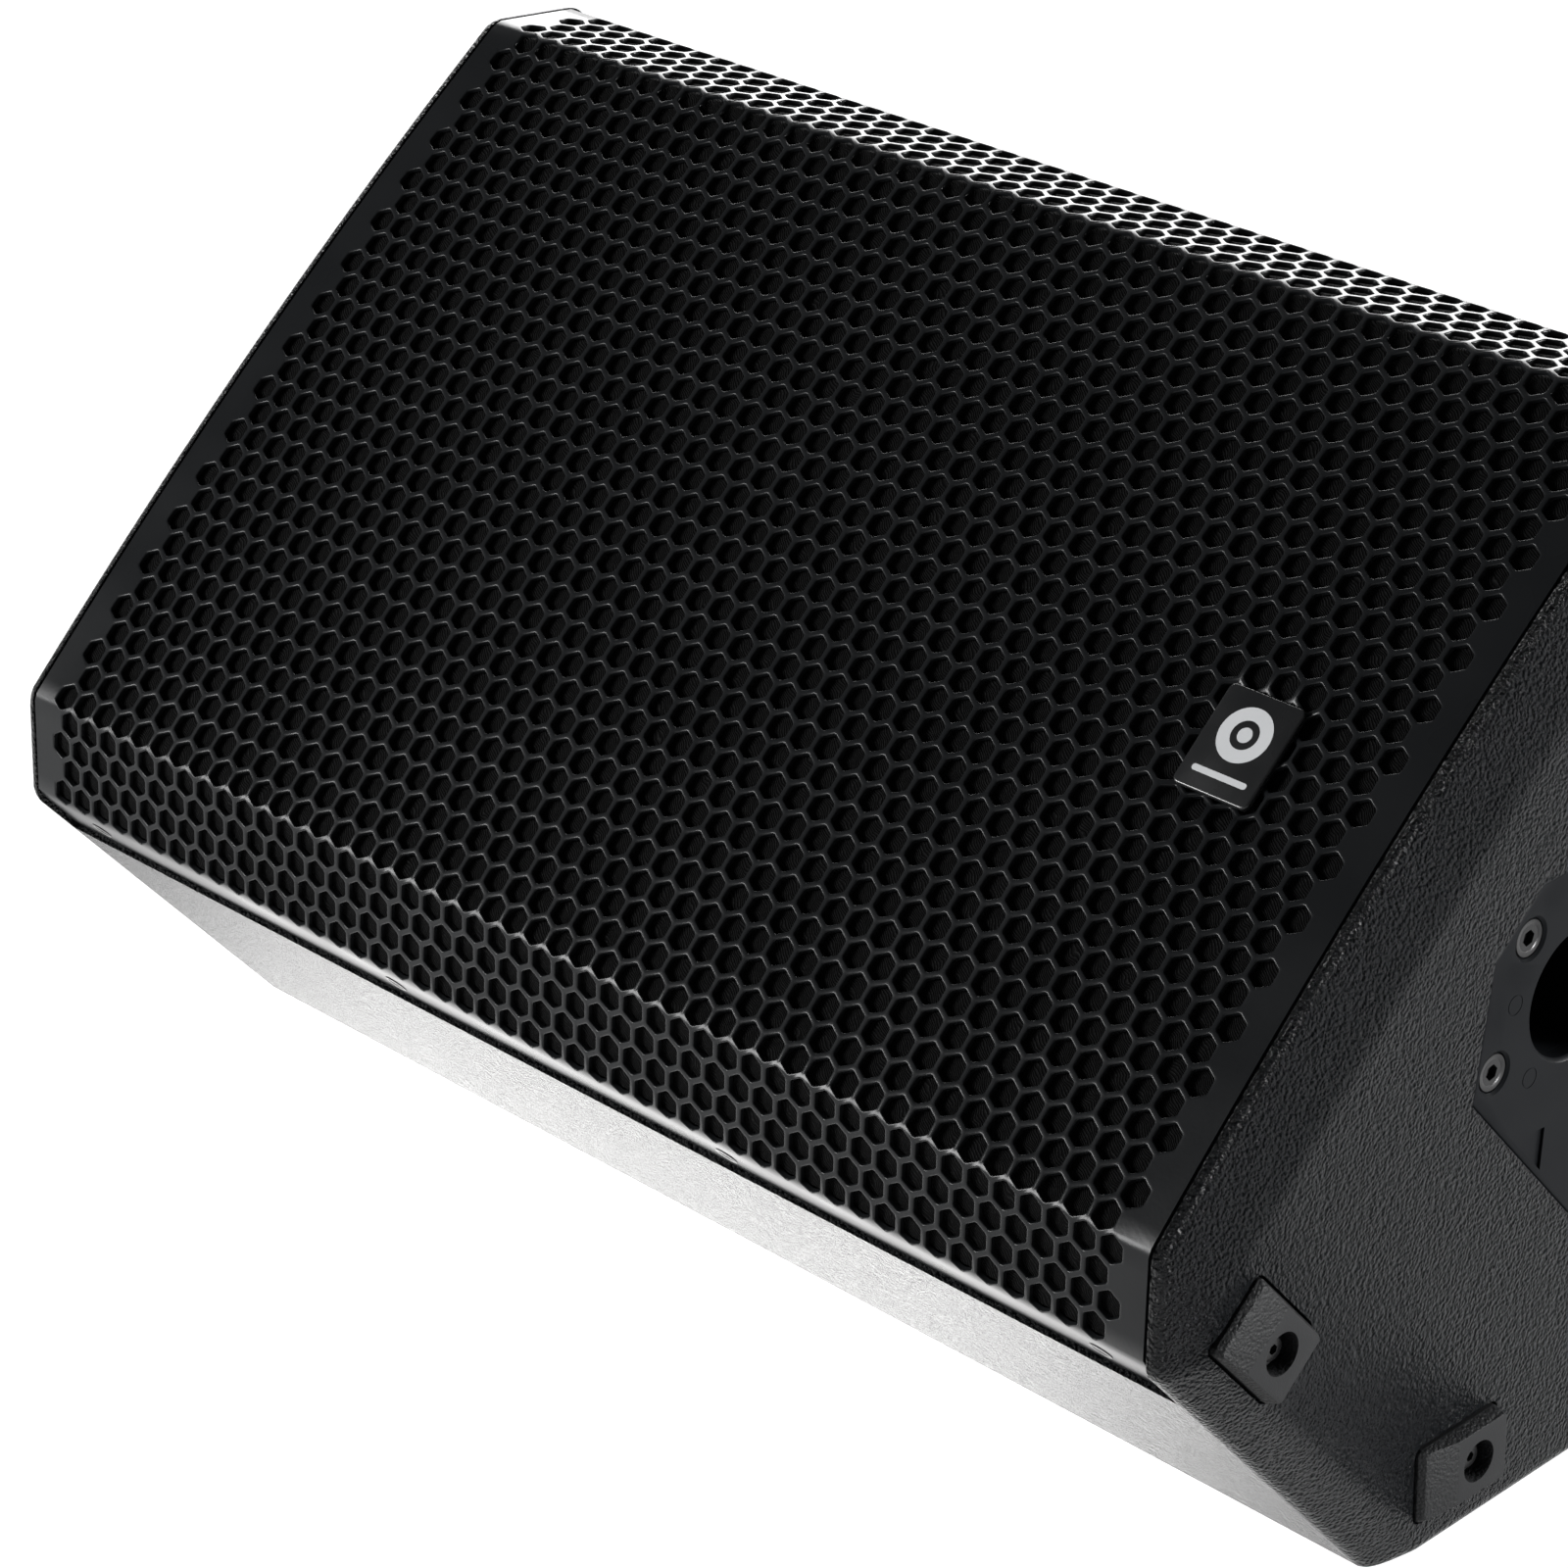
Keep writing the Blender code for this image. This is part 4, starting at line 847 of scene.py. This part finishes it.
def pole_side():
    middle = POLE_V + POLE_SPACING / 2
    centre = placed(RIGHT, (middle, 0.0, 0.0))
    plate = new_object("pole_plate_body", prism(plate_outline(), -GAP - PLATE_THICKNESS, -GAP))
    bevel(plate, 0.0007, 3, 25.0)
    apply_modifiers(plate)
    plate.data.transform(centre)
    cutters = []
    for number, turn in enumerate((0.0, POLE_TILT)):
        hole = turned([(0.0, -0.030), (POLE_BORE, -0.030), (POLE_BORE, -0.0014),
                       (POLE_BORE + 0.0003, -0.0009), (POLE_BORE + 0.0011, -GAP),
                       (POLE_BORE + 0.0013, 0.004), (0.0, 0.004)], 72)
        place = (POLE_V + number * POLE_SPACING, 0.0, 0.0)
        cutters.append(moved(hole, placed(RIGHT, place, (0.0, -turn, 0.0))))
    for x, y in pole_screw_places():
        hole = turned([(0.0, -0.010), (0.0033, -0.010), (0.0033, -0.0042), (0.0056, -0.0016),
                       (0.0056, -0.0011), (0.00635, -GAP), (0.0064, 0.002), (0.0, 0.002)], 40)
        cutters.append(moved(hole, placed(RIGHT, (x, y, 0.0))))
    for x, y in [(a * x, b * y) for x, y in ((0.0437, 0.0149), (0.0205, 0.0250)) for a in (-1, 1)
                 for b in (1, -1)]:
        ring = turned([(0.0026, -0.00045), (0.0029, -0.00045), (0.0029, 0.001), (0.0026, 0.001)], 28)
        cutters.append(moved(ring, placed(RIGHT, (middle + x, y, 0.0))))
    for flip in (-1, 1):
        points = [(-0.0115, 0.0396 * flip), (0.0065, 0.0396 * flip), (-0.0022, 0.0307 * flip)]
        cutters.append(moved(prism(points[::flip], -0.0012, 0.003), centre))
    carve(plate, cutters)
    finish_solid(plate, PLASTIC, 25.0)
    settle(plate, replaces=("pole_plate",))
    for number, name in enumerate(("pole_cup_upright", "pole_cup_tilted")):
        outer = POLE_BORE + POLE_WALL
        mouth = -(PLATE_THICKNESS + 2 * GAP)
        profile = [(0.0, -POLE_DEPTH), (outer, -POLE_DEPTH), (outer, 0.004), (POLE_BORE, 0.004),
                   (POLE_BORE, POLE_WALL - POLE_DEPTH), (0.0, POLE_WALL - POLE_DEPTH)]
        place = (POLE_V + number * POLE_SPACING, 0.0, 0.0)
        cup = new_object(name + "_tube", turned(profile, 72),
                         placed(RIGHT, place, (0.0, -number * POLE_TILT, 0.0)))
        carve(cup, [moved(box((-0.05, -0.05, mouth), (0.05, 0.05, 0.02)), placed(RIGHT, place))])
        finish_solid(cup, PLASTIC)
        settle(cup, replaces=(name,))
    screw = flat_screw("plate_screw", 0.0054, 0.0034, 0.0040, 0.0022)
    for number, (x, y) in enumerate(pole_screw_places(), start=1):
        put(f"plate_screw_{number}", screw, placed(RIGHT, (x, y, -0.0010)))


def foot_solid():
    """A rubber foot: flat where its screw is, sloped and grained towards the other end."""
    half, wide = SIDE_FOOT_LENGTH / 2, SIDE_FOOT_WIDTH / 2
    fold = -half + 0.0125
    top = SIDE_FOOT_PROUD
    shape = rounded(half, wide, 0.0018, 5)
    crown = [(x * (1.0 - 0.0016 / half) + 0.0016, y * (1.0 - 0.0014 / wide)) for x, y in shape]
    levels = ((-SIDE_FOOT_SUNK, shape), (0.0004, shape), (top, crown))
    obj = new_object("foot", loft([[(x, y, z) for x, y in ring] for z, ring in levels]))
    slope = prism([(top, fold), (top + 0.01, fold), (top + 0.01, -half - 0.01), (0.0018, -half - 0.01),
                   (0.0018, -half)], -0.02, 0.02, "Y")
    carve(obj, [slope])
    bevel(obj, 0.0011, 4, 14.0)
    apply_modifiers(obj)
    bore = turned([(0.0, -0.0012), (0.0057, -0.0012), (0.0058, 0.0034), (0.0061, 0.0042), (0.0061, 0.01),
                   (0.0, 0.01)], 48)
    carve(obj, [moved(bore, shift((SIDE_FOOT_BORE_PLACE, 0.0, 0.0)))])
    finish_solid(obj, RUBBER)
    mesh = mesh_of(obj)
    mesh.materials.append(RUBBER_GRAIN)
    for polygon in mesh.polygons:
        side = abs(polygon.normal.z) < 0.8 and polygon.center.z > 0.0006
        polygon.material_index = 1 if side or polygon.center.x < fold - 0.0004 else 0
    return mesh


def side_feet():
    mesh = foot_solid()
    screw = cap_screw("foot_screw", 0.0034, 0.0022, 0.0026, 0.0014)
    for number, (x, y, turn) in enumerate(SIDE_FEET, start=1):
        matrix = placed(RIGHT, (x, y, 0.0), (0.0, 0.0, turn))
        put(f"end_foot_{number}", mesh, matrix, replaces=(f"side_foot_{number}",))
        put(f"end_foot_screw_{number}", screw, matrix @ shift((SIDE_FOOT_BORE_PLACE, 0.0, -0.0012)))


# Badge and flange screws.

def badge():
    middle = placed(FACE, (BADGE_X, 0.0, 0.0))
    plate = new_object("badge_body", prism(rounded(*BADGE_HALF, 0.0020, 6), -0.0011, 0.0009), middle)
    bevel(plate, 0.0005, 3, 40.0)
    apply_modifiers(plate)
    finish_solid(plate, BADGE)
    settle(plate, replaces=("badge_plate",))
    top = 0.00093
    ring = turned([(0.0042, top - 0.0002), (0.0080, top - 0.0002), (0.0080, top), (0.0042, top)], 48)
    dot = turned([(0.0, top - 0.0002), (0.0022, top - 0.0002), (0.0022, top), (0.0, top)], 32)
    bar = prism(rounded(0.0090, 0.0009, 0.0008, 3), top - 0.0002, top)
    lift = shift((0.0, 0.0030, 0.0))
    low = shift((0.0, -0.0095, 0.0))
    mark = merged(moved(ring, lift), moved(dot, lift), moved(bar, low))
    piece("badge_mark", mark, middle, MARK)


def flange_screws():
    screw = flat_screw("grille_screw", 0.0037, 0.0020, 0.0020, 0.0010)
    for number, x in enumerate(GRILLE_SCREW_X, start=1):
        place = placed(FACE, (x, -FLANGE_U, -GRILLE_SCREW_V), (pi / 2, 0.0, 0.0))
        put(f"flange_screw_{number}", screw, place @ shift((0.0, 0.0, 0.00025)),
            replaces=(f"grille_screw_{number}",))
        top = placed(FACE, (x, FLANGE_U, -GRILLE_SCREW_V), (-pi / 2, 0.0, 0.0))
        put(f"top_flange_screw_{number}", screw, top @ shift((0.0, 0.0, 0.00025)))


# Carried-over pieces.

DRESS = (
    ("amp_tray", PANEL, 0.0009, 3),
    ("heatsink", ANODISED, 0.0003, 2),
    ("mains_inlet rocker_frame", SOCKET, 0.0005, 3),
    ("latch_tab_1 latch_tab_2 mode_switch select_button", CONTROL, 0.0003, 2),
    ("power_rocker", ROCKER, 0.0005, 3),
    ("status_led", LENS, 0.0002, 2),
    ("handle_cup", PLASTIC, 0.0016, 4),
    ("baffle_board", TIMBER, 0.0008, 2),
    ("driver_basket hf_housing", CAST, 0.0006, 2),
    ("driver_trim_ring woofer_surround", RUBBER, 0.0, 0),
    ("woofer_cone", PAPER, 0.0, 0),
    ("woofer_spider", SPIDER, 0.0, 0),
    ("voice_coil", COPPER, 0.0, 0),
    ("motor_top_plate motor_back_plate", STEEL, 0.0005, 2),
    ("magnet_ring", FERRITE, 0.0008, 2),
    ("hf_horn port_tube_left port_tube_right", PLASTIC, 0.0, 0),
    ("hf_diaphragm", DOME, 0.0, 0),
    ("circuit_board", BOARD, 0.0002, 2),
    ("power_supply", STEEL, 0.0010, 3),
)


def dress_all():
    """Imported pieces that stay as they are: a finish, and slightly rounded edges."""
    for names, material, width, segments in DRESS:
        for name in names.split():
            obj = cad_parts[name]
            if not obj.material_slots:
                obj.data.materials.append(material)
            for slot in obj.material_slots:
                slot.material = material
            if width:
                bevel(obj, width, segments, 32.0)


def sockets():
    """Three round sockets: two with a jack in the middle and a latch, one with pins."""
    floor = placed(REAR, (0.0, 0.0, TRAY_FLOOR))
    screw = flat_screw("socket_screw", 0.0021, 0.0010, 0.0016, 0.0007)
    names = ("input_socket_1", "input_socket_2", "link_socket")
    for name, x, pins in zip(names, (*SOCKET_X, LINK_X), (False, False, True)):
        place = placed(floor, (x, SOCKET_Y, 0.0))
        body = new_object(name + "_body", prism(rounded(0.0130, 0.0175, 0.0030), GAP, 0.0018))
        bevel(body, 0.0005, 3, 40.0)
        apply_modifiers(body)
        carve(body, [turned([(0.0, -0.020), (0.0118, -0.020), (0.0118, 0.0010), (0.0112, 0.0024),
                             (0.0104, 0.0024), (0.0, 0.0024)], 56)], "UNION")
        cutters = [turned([(0.0, -0.016), (0.0097, -0.016), (0.0097, 0.0014), (0.0102, 0.010),
                           (0.0, 0.010)], 56)]
        if not pins:
            cutters.append(box((-0.0046, 0.0128, -0.0198), (0.0046, 0.0162, 0.010)))
        cutters.append(box((-0.0016, -0.0112, -0.012), (0.0016, -0.0090, 0.010)))
        carve(body, cutters)
        finish_solid(body, SOCKET, 30.0)
        body.data.transform(place)
        settle(body, replaces=(name,))
        for number, flip in enumerate((-1, 1), start=1):
            put(f"{name}_screw_{number}", screw, placed(place, (0.0100 * flip, -0.0145 * flip, 0.0019)))
        spots = [(0.0055 * cos(a), 0.0055 * sin(a)) for a in (radians(210), radians(330), radians(90))]
        if pins:
            rods = [moved(turned([(0.0, -0.0158), (0.0012, -0.0158), (0.0012, -0.0052), (0.0007, -0.0044),
                                  (0.0, -0.0043)], 20), shift((a, b, 0.0)))
                    for a, b in spots]
            piece(f"{name}_pins", merged(*rods), place, CONTACT)
        else:
            drum = [(0.0, -0.0157), (0.0093, -0.0157), (0.0093, -0.0048), (0.0088, -0.0043), (0.0, -0.0043)]
            insert = new_object(f"{name}_insert", turned(drum, 48))
            holes = [moved(turned([(0.0, -0.012), (0.0013, -0.012), (0.0013, 0.0), (0.0, 0.0)], 20),
                           shift((a * 1.25, b * 1.25, 0.0))) for a, b in spots]
            holes.append(turned([(0.0, -0.014), (0.0033, -0.014), (0.0033, -0.0050), (0.0042, -0.0040),
                                 (0.0042, 0.0), (0.0, 0.0)], 32))
            carve(insert, holes)
            finish_solid(insert, CONTROL, 30.0)
            insert.data.transform(place)
            settle(insert)


def rear_details():
    floor = placed(REAR, (0.0, 0.0, TRAY_FLOOR))
    for number, x in enumerate(KNOB_X, start=1):
        place = placed(floor, (x, KNOB_Y, 0.0))
        body = turned([(0.0, -0.0080), (0.0030, -0.0080), (0.0030, 0.0008), (0.0066, 0.0008),
                       (0.0066, 0.0016), (0.0062, 0.0022), (0.0058, 0.0104), (0.0054, 0.0112),
                       (0.0047, 0.0114), (0.0, 0.0114)], 48)
        knob = new_object(f"level_knob_body_{number}", body)
        grips = [moved(turned([(0.0, 0.0026), (0.0007, 0.0026), (0.0007, 0.013), (0.0, 0.013)], 10),
                       shift((0.0064 * cos(a), 0.0064 * sin(a), 0.0)))
                 for a in (2 * pi * (k + 0.5) / 18 for k in range(18)) if abs(a - pi / 2) > 0.25]
        carve(knob, grips)
        finish_solid(knob, CONTROL, 30.0)
        knob.data.transform(place)
        settle(knob, f"knob_{number}", (f"level_knob_{number}",))
        pointer = moved(prism(rounded(0.00045, 0.0023, 0.0003, 3), 0.0112, 0.0116),
                        shift((0.0, 0.0031, 0.0)))
        piece(f"level_pointer_{number}", pointer, place, MARK, f"knob_{number}")
        ticks = []
        for step in range(11):
            angle = radians(225 - 27 * step)
            spoke = Matrix.Rotation(angle, 4, "Z") @ shift((0.0098, 0.0, 0.0))
            tick = rounded(0.0009 if step % 5 else 0.0013, 0.00016, 0.0001, 2)
            ticks.append(moved(prism(tick, 0.0, 0.00006), spoke))
        piece(f"level_scale_{number}", merged(*ticks), place, MARK)
    bars = [moved(prism(rounded(0.0022, 0.00018, 0.0001, 2), 0.0, 0.00006), shift((x + dx, y + dy, 0.0)))
            for (x, y), dx, dy in ((SLIDE_PLACE, -0.0035, 0.0042), (SLIDE_PLACE, 0.0035, 0.0042),
                                   (BUTTON_PLACE, 0.0, 0.0052))]
    piece("control_marks", merged(*bars), floor, MARK)
    paddle = placed(REAR, (*ROCKER_PLACE, TRAY_FLOOR - 0.0005), (ROCKER_SWING, 0.0, 0.0))
    slope = atan2(0.0016, 0.0085)
    stroke = prism(rounded(0.00022, 0.0014, 0.0002, 2), -0.0002, 0.00006)
    ring = turned([(0.0011, -0.0002), (0.00155, -0.0002), (0.00155, 0.00006), (0.0011, 0.00006)], 24)
    for name, mark, side in (("rocker_mark_on", stroke, 1), ("rocker_mark_off", ring, -1)):
        place = (0.0, 0.0050 * side, 0.0026 + 0.0050 * tan(slope))
        piece(name, mark, placed(paddle, place, (slope * side, 0.0, 0.0)), MARK, "rocker")
    blades = [moved(prism(rounded(0.0010, 0.0021, 0.0004, 3), -0.0164, -0.0040), shift((x, y, 0.0)))
              for x, y in ((0.0, 0.0030), (-0.0065, -0.0025), (0.0065, -0.0025))]
    piece("inlet_pins", merged(*blades), placed(floor, (*INLET_PLACE, 0.0)), CONTACT)
    screw = pan_screw("tray_screw", 0.0036, 0.0020, 0.0025, 0.0013)
    spots = [(x, y) for y in (-0.0662, 0.0662) for x in (-0.160, -0.054, 0.054, 0.160)]
    spots += [(-0.1706, 0.0), (0.1706, 0.0)]
    for number, (x, y) in enumerate(spots, start=1):
        put(f"tray_screw_{number}", screw, placed(REAR, (x, y, 0.0025)))


def handle_details():
    middle = POLE_V + POLE_SPACING / 2
    place = placed(LEFT, (middle, 0.0, -HANDLE_BAR_DROP))
    reach = HANDLE_HALF[0] - HANDLE_WALL - GAP
    sections = []
    for k in range(33):
        t = -1 + 2 * k / 32
        swell = 0.90 + 0.10 * abs(t) ** 6
        ring = []
        for i in range(40):
            a = 2 * pi * i / 40
            c, d = cos(a), sin(a)
            ring.append((t * reach, 0.0110 * swell * abs(c) ** 0.75 * (1 if c >= 0 else -1),
                         0.0070 * swell * abs(d) ** 0.75 * (1 if d >= 0 else -1)))
        sections.append(ring)
    piece("handle_grip", loft(sections), place, PLASTIC, replaces=("handle_bar",),
          smooth=50.0)
    screw = pan_screw("handle_screw", 0.0036, 0.0016, 0.0025, 0.0010)
    for number, (a, b) in enumerate(((1, 1), (1, -1), (-1, 1), (-1, -1)), start=1):
        place = placed(LEFT, (middle + a * 0.0585, b * 0.0320, SIDE_FOOT_PROUD))
        put(f"handle_screw_{number}", screw, place)


def base_feet():
    screw = pan_screw("base_foot_screw", 0.0040, 0.0018, 0.0025, 0.0011)
    for number in range(1, 5):
        low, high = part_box(f"base_foot_{number}")
        place = shift(((low[0] + high[0]) / 2, (low[1] + high[1]) / 2, FOOT_HEIGHT))
        profile = [(0.0, -0.0018), (0.0055, -0.0018), (0.0055, -0.0044), (0.0061, -0.0050),
                   (0.0120, -0.0050), (0.0133, -0.0046), (0.0139, -0.0036), (0.0140, -0.0028),
                   (0.0140, -GAP), (0.0, -GAP)]
        piece(f"floor_foot_{number}", turned(profile, 56), place, RUBBER,
              replaces=(f"base_foot_{number}",))
        put(f"floor_foot_screw_{number}", screw, placed(place, (0.0, 0.0, -0.0018), (pi, 0.0, 0.0)))


# On the circuit board: place, then radius or half sides, then height.
CAPACITORS = (
    (0.010, 0.030, 0.0060, 0.016), (0.026, 0.030, 0.0060, 0.016), (0.010, 0.010, 0.0040, 0.011),
    (0.022, 0.010, 0.0040, 0.011), (0.034, 0.012, 0.0040, 0.011), (0.130, -0.030, 0.0050, 0.012),
)
CHIPS = (
    (0.060, 0.010, 0.007, 0.007, 0.0016), (0.088, 0.014, 0.005, 0.004, 0.0014),
    (0.060, -0.018, 0.010, 0.004, 0.0018), (0.090, -0.022, 0.0035, 0.0025, 0.0014),
    (0.110, 0.020, 0.008, 0.005, 0.0080), (0.128, 0.004, 0.006, 0.010, 0.0100),
)


def inner_details():
    """Driver screws, the damping pad and the larger parts on the circuit board."""
    screw = pan_screw("driver_screw", 0.0040, 0.0024, 0.0030, 0.0016)
    for number in range(8):
        a = 2 * pi * (number + 0.5) / 8
        put(f"driver_screw_{number + 1}", screw, placed(DRIVER, (0.1242 * cos(a), 0.1242 * sin(a), 0.0080)))
    top = HALF_HEIGHT - WOOD - GAP
    half_x, low_z, high_z = 0.150, -0.148, -0.060
    columns, rows = 60, 20
    sheets = []
    for thickness in (0.0, 0.015):
        sheet = []
        for r in range(rows + 1):
            line = []
            for c in range(columns + 1):
                u, v = 2 * c / columns - 1, 2 * r / rows - 1
                edge = (1 - u ** 12) * (1 - v ** 8)
                pull = 1 - 0.006 * (1 - edge)
                line.append((u * half_x * pull, top - thickness * (0.28 + 0.70 * edge ** 0.6),
                             (low_z + high_z) / 2 + v * (high_z - low_z) / 2 * pull))
            sheet.append(line)
        sheets.append(sheet)
    bm = padded_sheet(*sheets)
    pad = piece("damping_wool", bm, FACE, WOOL, replaces=("damping_pad",), smooth=60.0)
    under = placed(REAR, (0.0, 0.0, -0.0416), (pi, 0.0, 0.0))
    tall = [moved(turned([(0.0, 0.0), (r, 0.0), (r, h - 0.0006), (r - 0.0006, h), (r - 0.0012, h - 0.0004),
                          (0.0, h - 0.0004)], 28), shift((x, y, 0.0)))
            for x, y, r, h in CAPACITORS]
    piece("board_capacitors", merged(*tall), under, CONTROL)
    chips = [moved(prism(rounded(a, b, 0.0004, 2), 0.0001, h), shift((x, y, 0.0)))
             for x, y, a, b, h in CHIPS]
    piece("board_chips", merged(*chips), under, SOCKET)


# Camera, light, floor.

def camera():
    data = bpy.data.cameras.new("camera")
    data.sensor_width = 36.0
    data.lens = 120.05
    data.shift_x = -0.05
    data.shift_y = -0.05
    obj = bpy.data.objects.new("camera", data)
    obj.location = (0.93662, -0.94879, 0.81318)
    obj.rotation_euler = (1.112634, 0.014940, 0.787173)
    data.clip_start = 0.05
    data.clip_end = 60.0
    bpy.context.scene.camera = link(obj)


def area(name, place, target, size, power):
    data = bpy.data.lights.new(name, "AREA")
    data.shape = "RECTANGLE"
    data.size, data.size_y = size
    data.energy = power
    obj = bpy.data.objects.new(name, data)
    obj.location = place
    obj.rotation_euler = (Vector(target) - Vector(place)).to_track_quat("-Z", "Y").to_euler()
    link(obj)


def studio():
    bm = bmesh.new()
    bm.faces.new([bm.verts.new((x, y, 0.0)) for x, y in circle(12.0, 64)])
    ground = new_object("studio_floor", bm)
    material, tree, shader, spot = start("floor_white", (0.12, 0.12, 0.12), 0.9, gloss=0.1)
    shader.inputs["Emission Strength"].default_value = 1.0
    plug(tree, shader, "Base Color", mixed(tree, noise(tree, spot, 3.0), (0.115,) * 3, (0.125,) * 3))
    # Painted light: a pool of glow painted into the floor's emission, brightest where the cabinet leans
    # over it.
    middle, spread = (0.05, 0.12), (0.26, 0.15)
    bent = node(tree, "Mapping", None, Vector=spot,
                Location=(middle[0] / spread[0], middle[1] / spread[1], 0.0),
                Scale=(1.0 / spread[0], 1.0 / spread[1], 1.0))
    away = node(tree, "VectorMath", {"operation": "LENGTH"}, i0=bent.outputs[0]).outputs["Value"]
    # Painted pool of light: the emission colour is about three times brighter under the overhang and fades
    # out to the even floor glow.
    painted_light_pool = mixed(tree, ramp(tree, away, 0.5, 1.2), (3.1, 3.08, 3.06), (1.0, 1.0, 1.0))
    plug(tree, shader, "Emission Color", painted_light_pool)
    ground.data.materials.append(material)
    world = bpy.data.worlds.new("world")
    bpy.context.scene.world = world
    world.use_nodes = True
    tree = world.node_tree
    back = tree.nodes["Background"]
    spot = node(tree, "TexCoord").outputs["Generated"]
    height = node(tree, "SeparateXYZ", None, Vector=spot).outputs[2]
    tree.links.new(mixed(tree, ramp(tree, height, 0.0, 0.8), (0.18, 0.18, 0.18), (0.08, 0.08, 0.083)),
                   back.inputs["Color"])
    back.inputs["Strength"].default_value = 1.0
    area("rear_left", (-1.50, 1.70, 1.10), (0.0, 0.0, 0.1), (2.0, 1.4), 95.0)
    area("right_glint", (2.6, 0.72, 0.24), (0.23, 0.0, 0.18), (0.5, 0.3), 150.0)
    area("right_back", (1.5, 1.9, 0.7), (0.23, 0.0, 0.18), (0.45, 0.35), 70.0)
    area("front_left", (-1.30, -1.70, 0.80), (0.0, 0.0, 0.15), (0.9, 0.6), 62.0)


bpy.context.scene.view_settings.view_transform = "Standard"
camera()
studio()
cabinet()
grille()
foam()
pole_side()
side_feet()
badge()
flange_screws()
dress_all()
sockets()
rear_details()
handle_details()
base_feet()
inner_details()
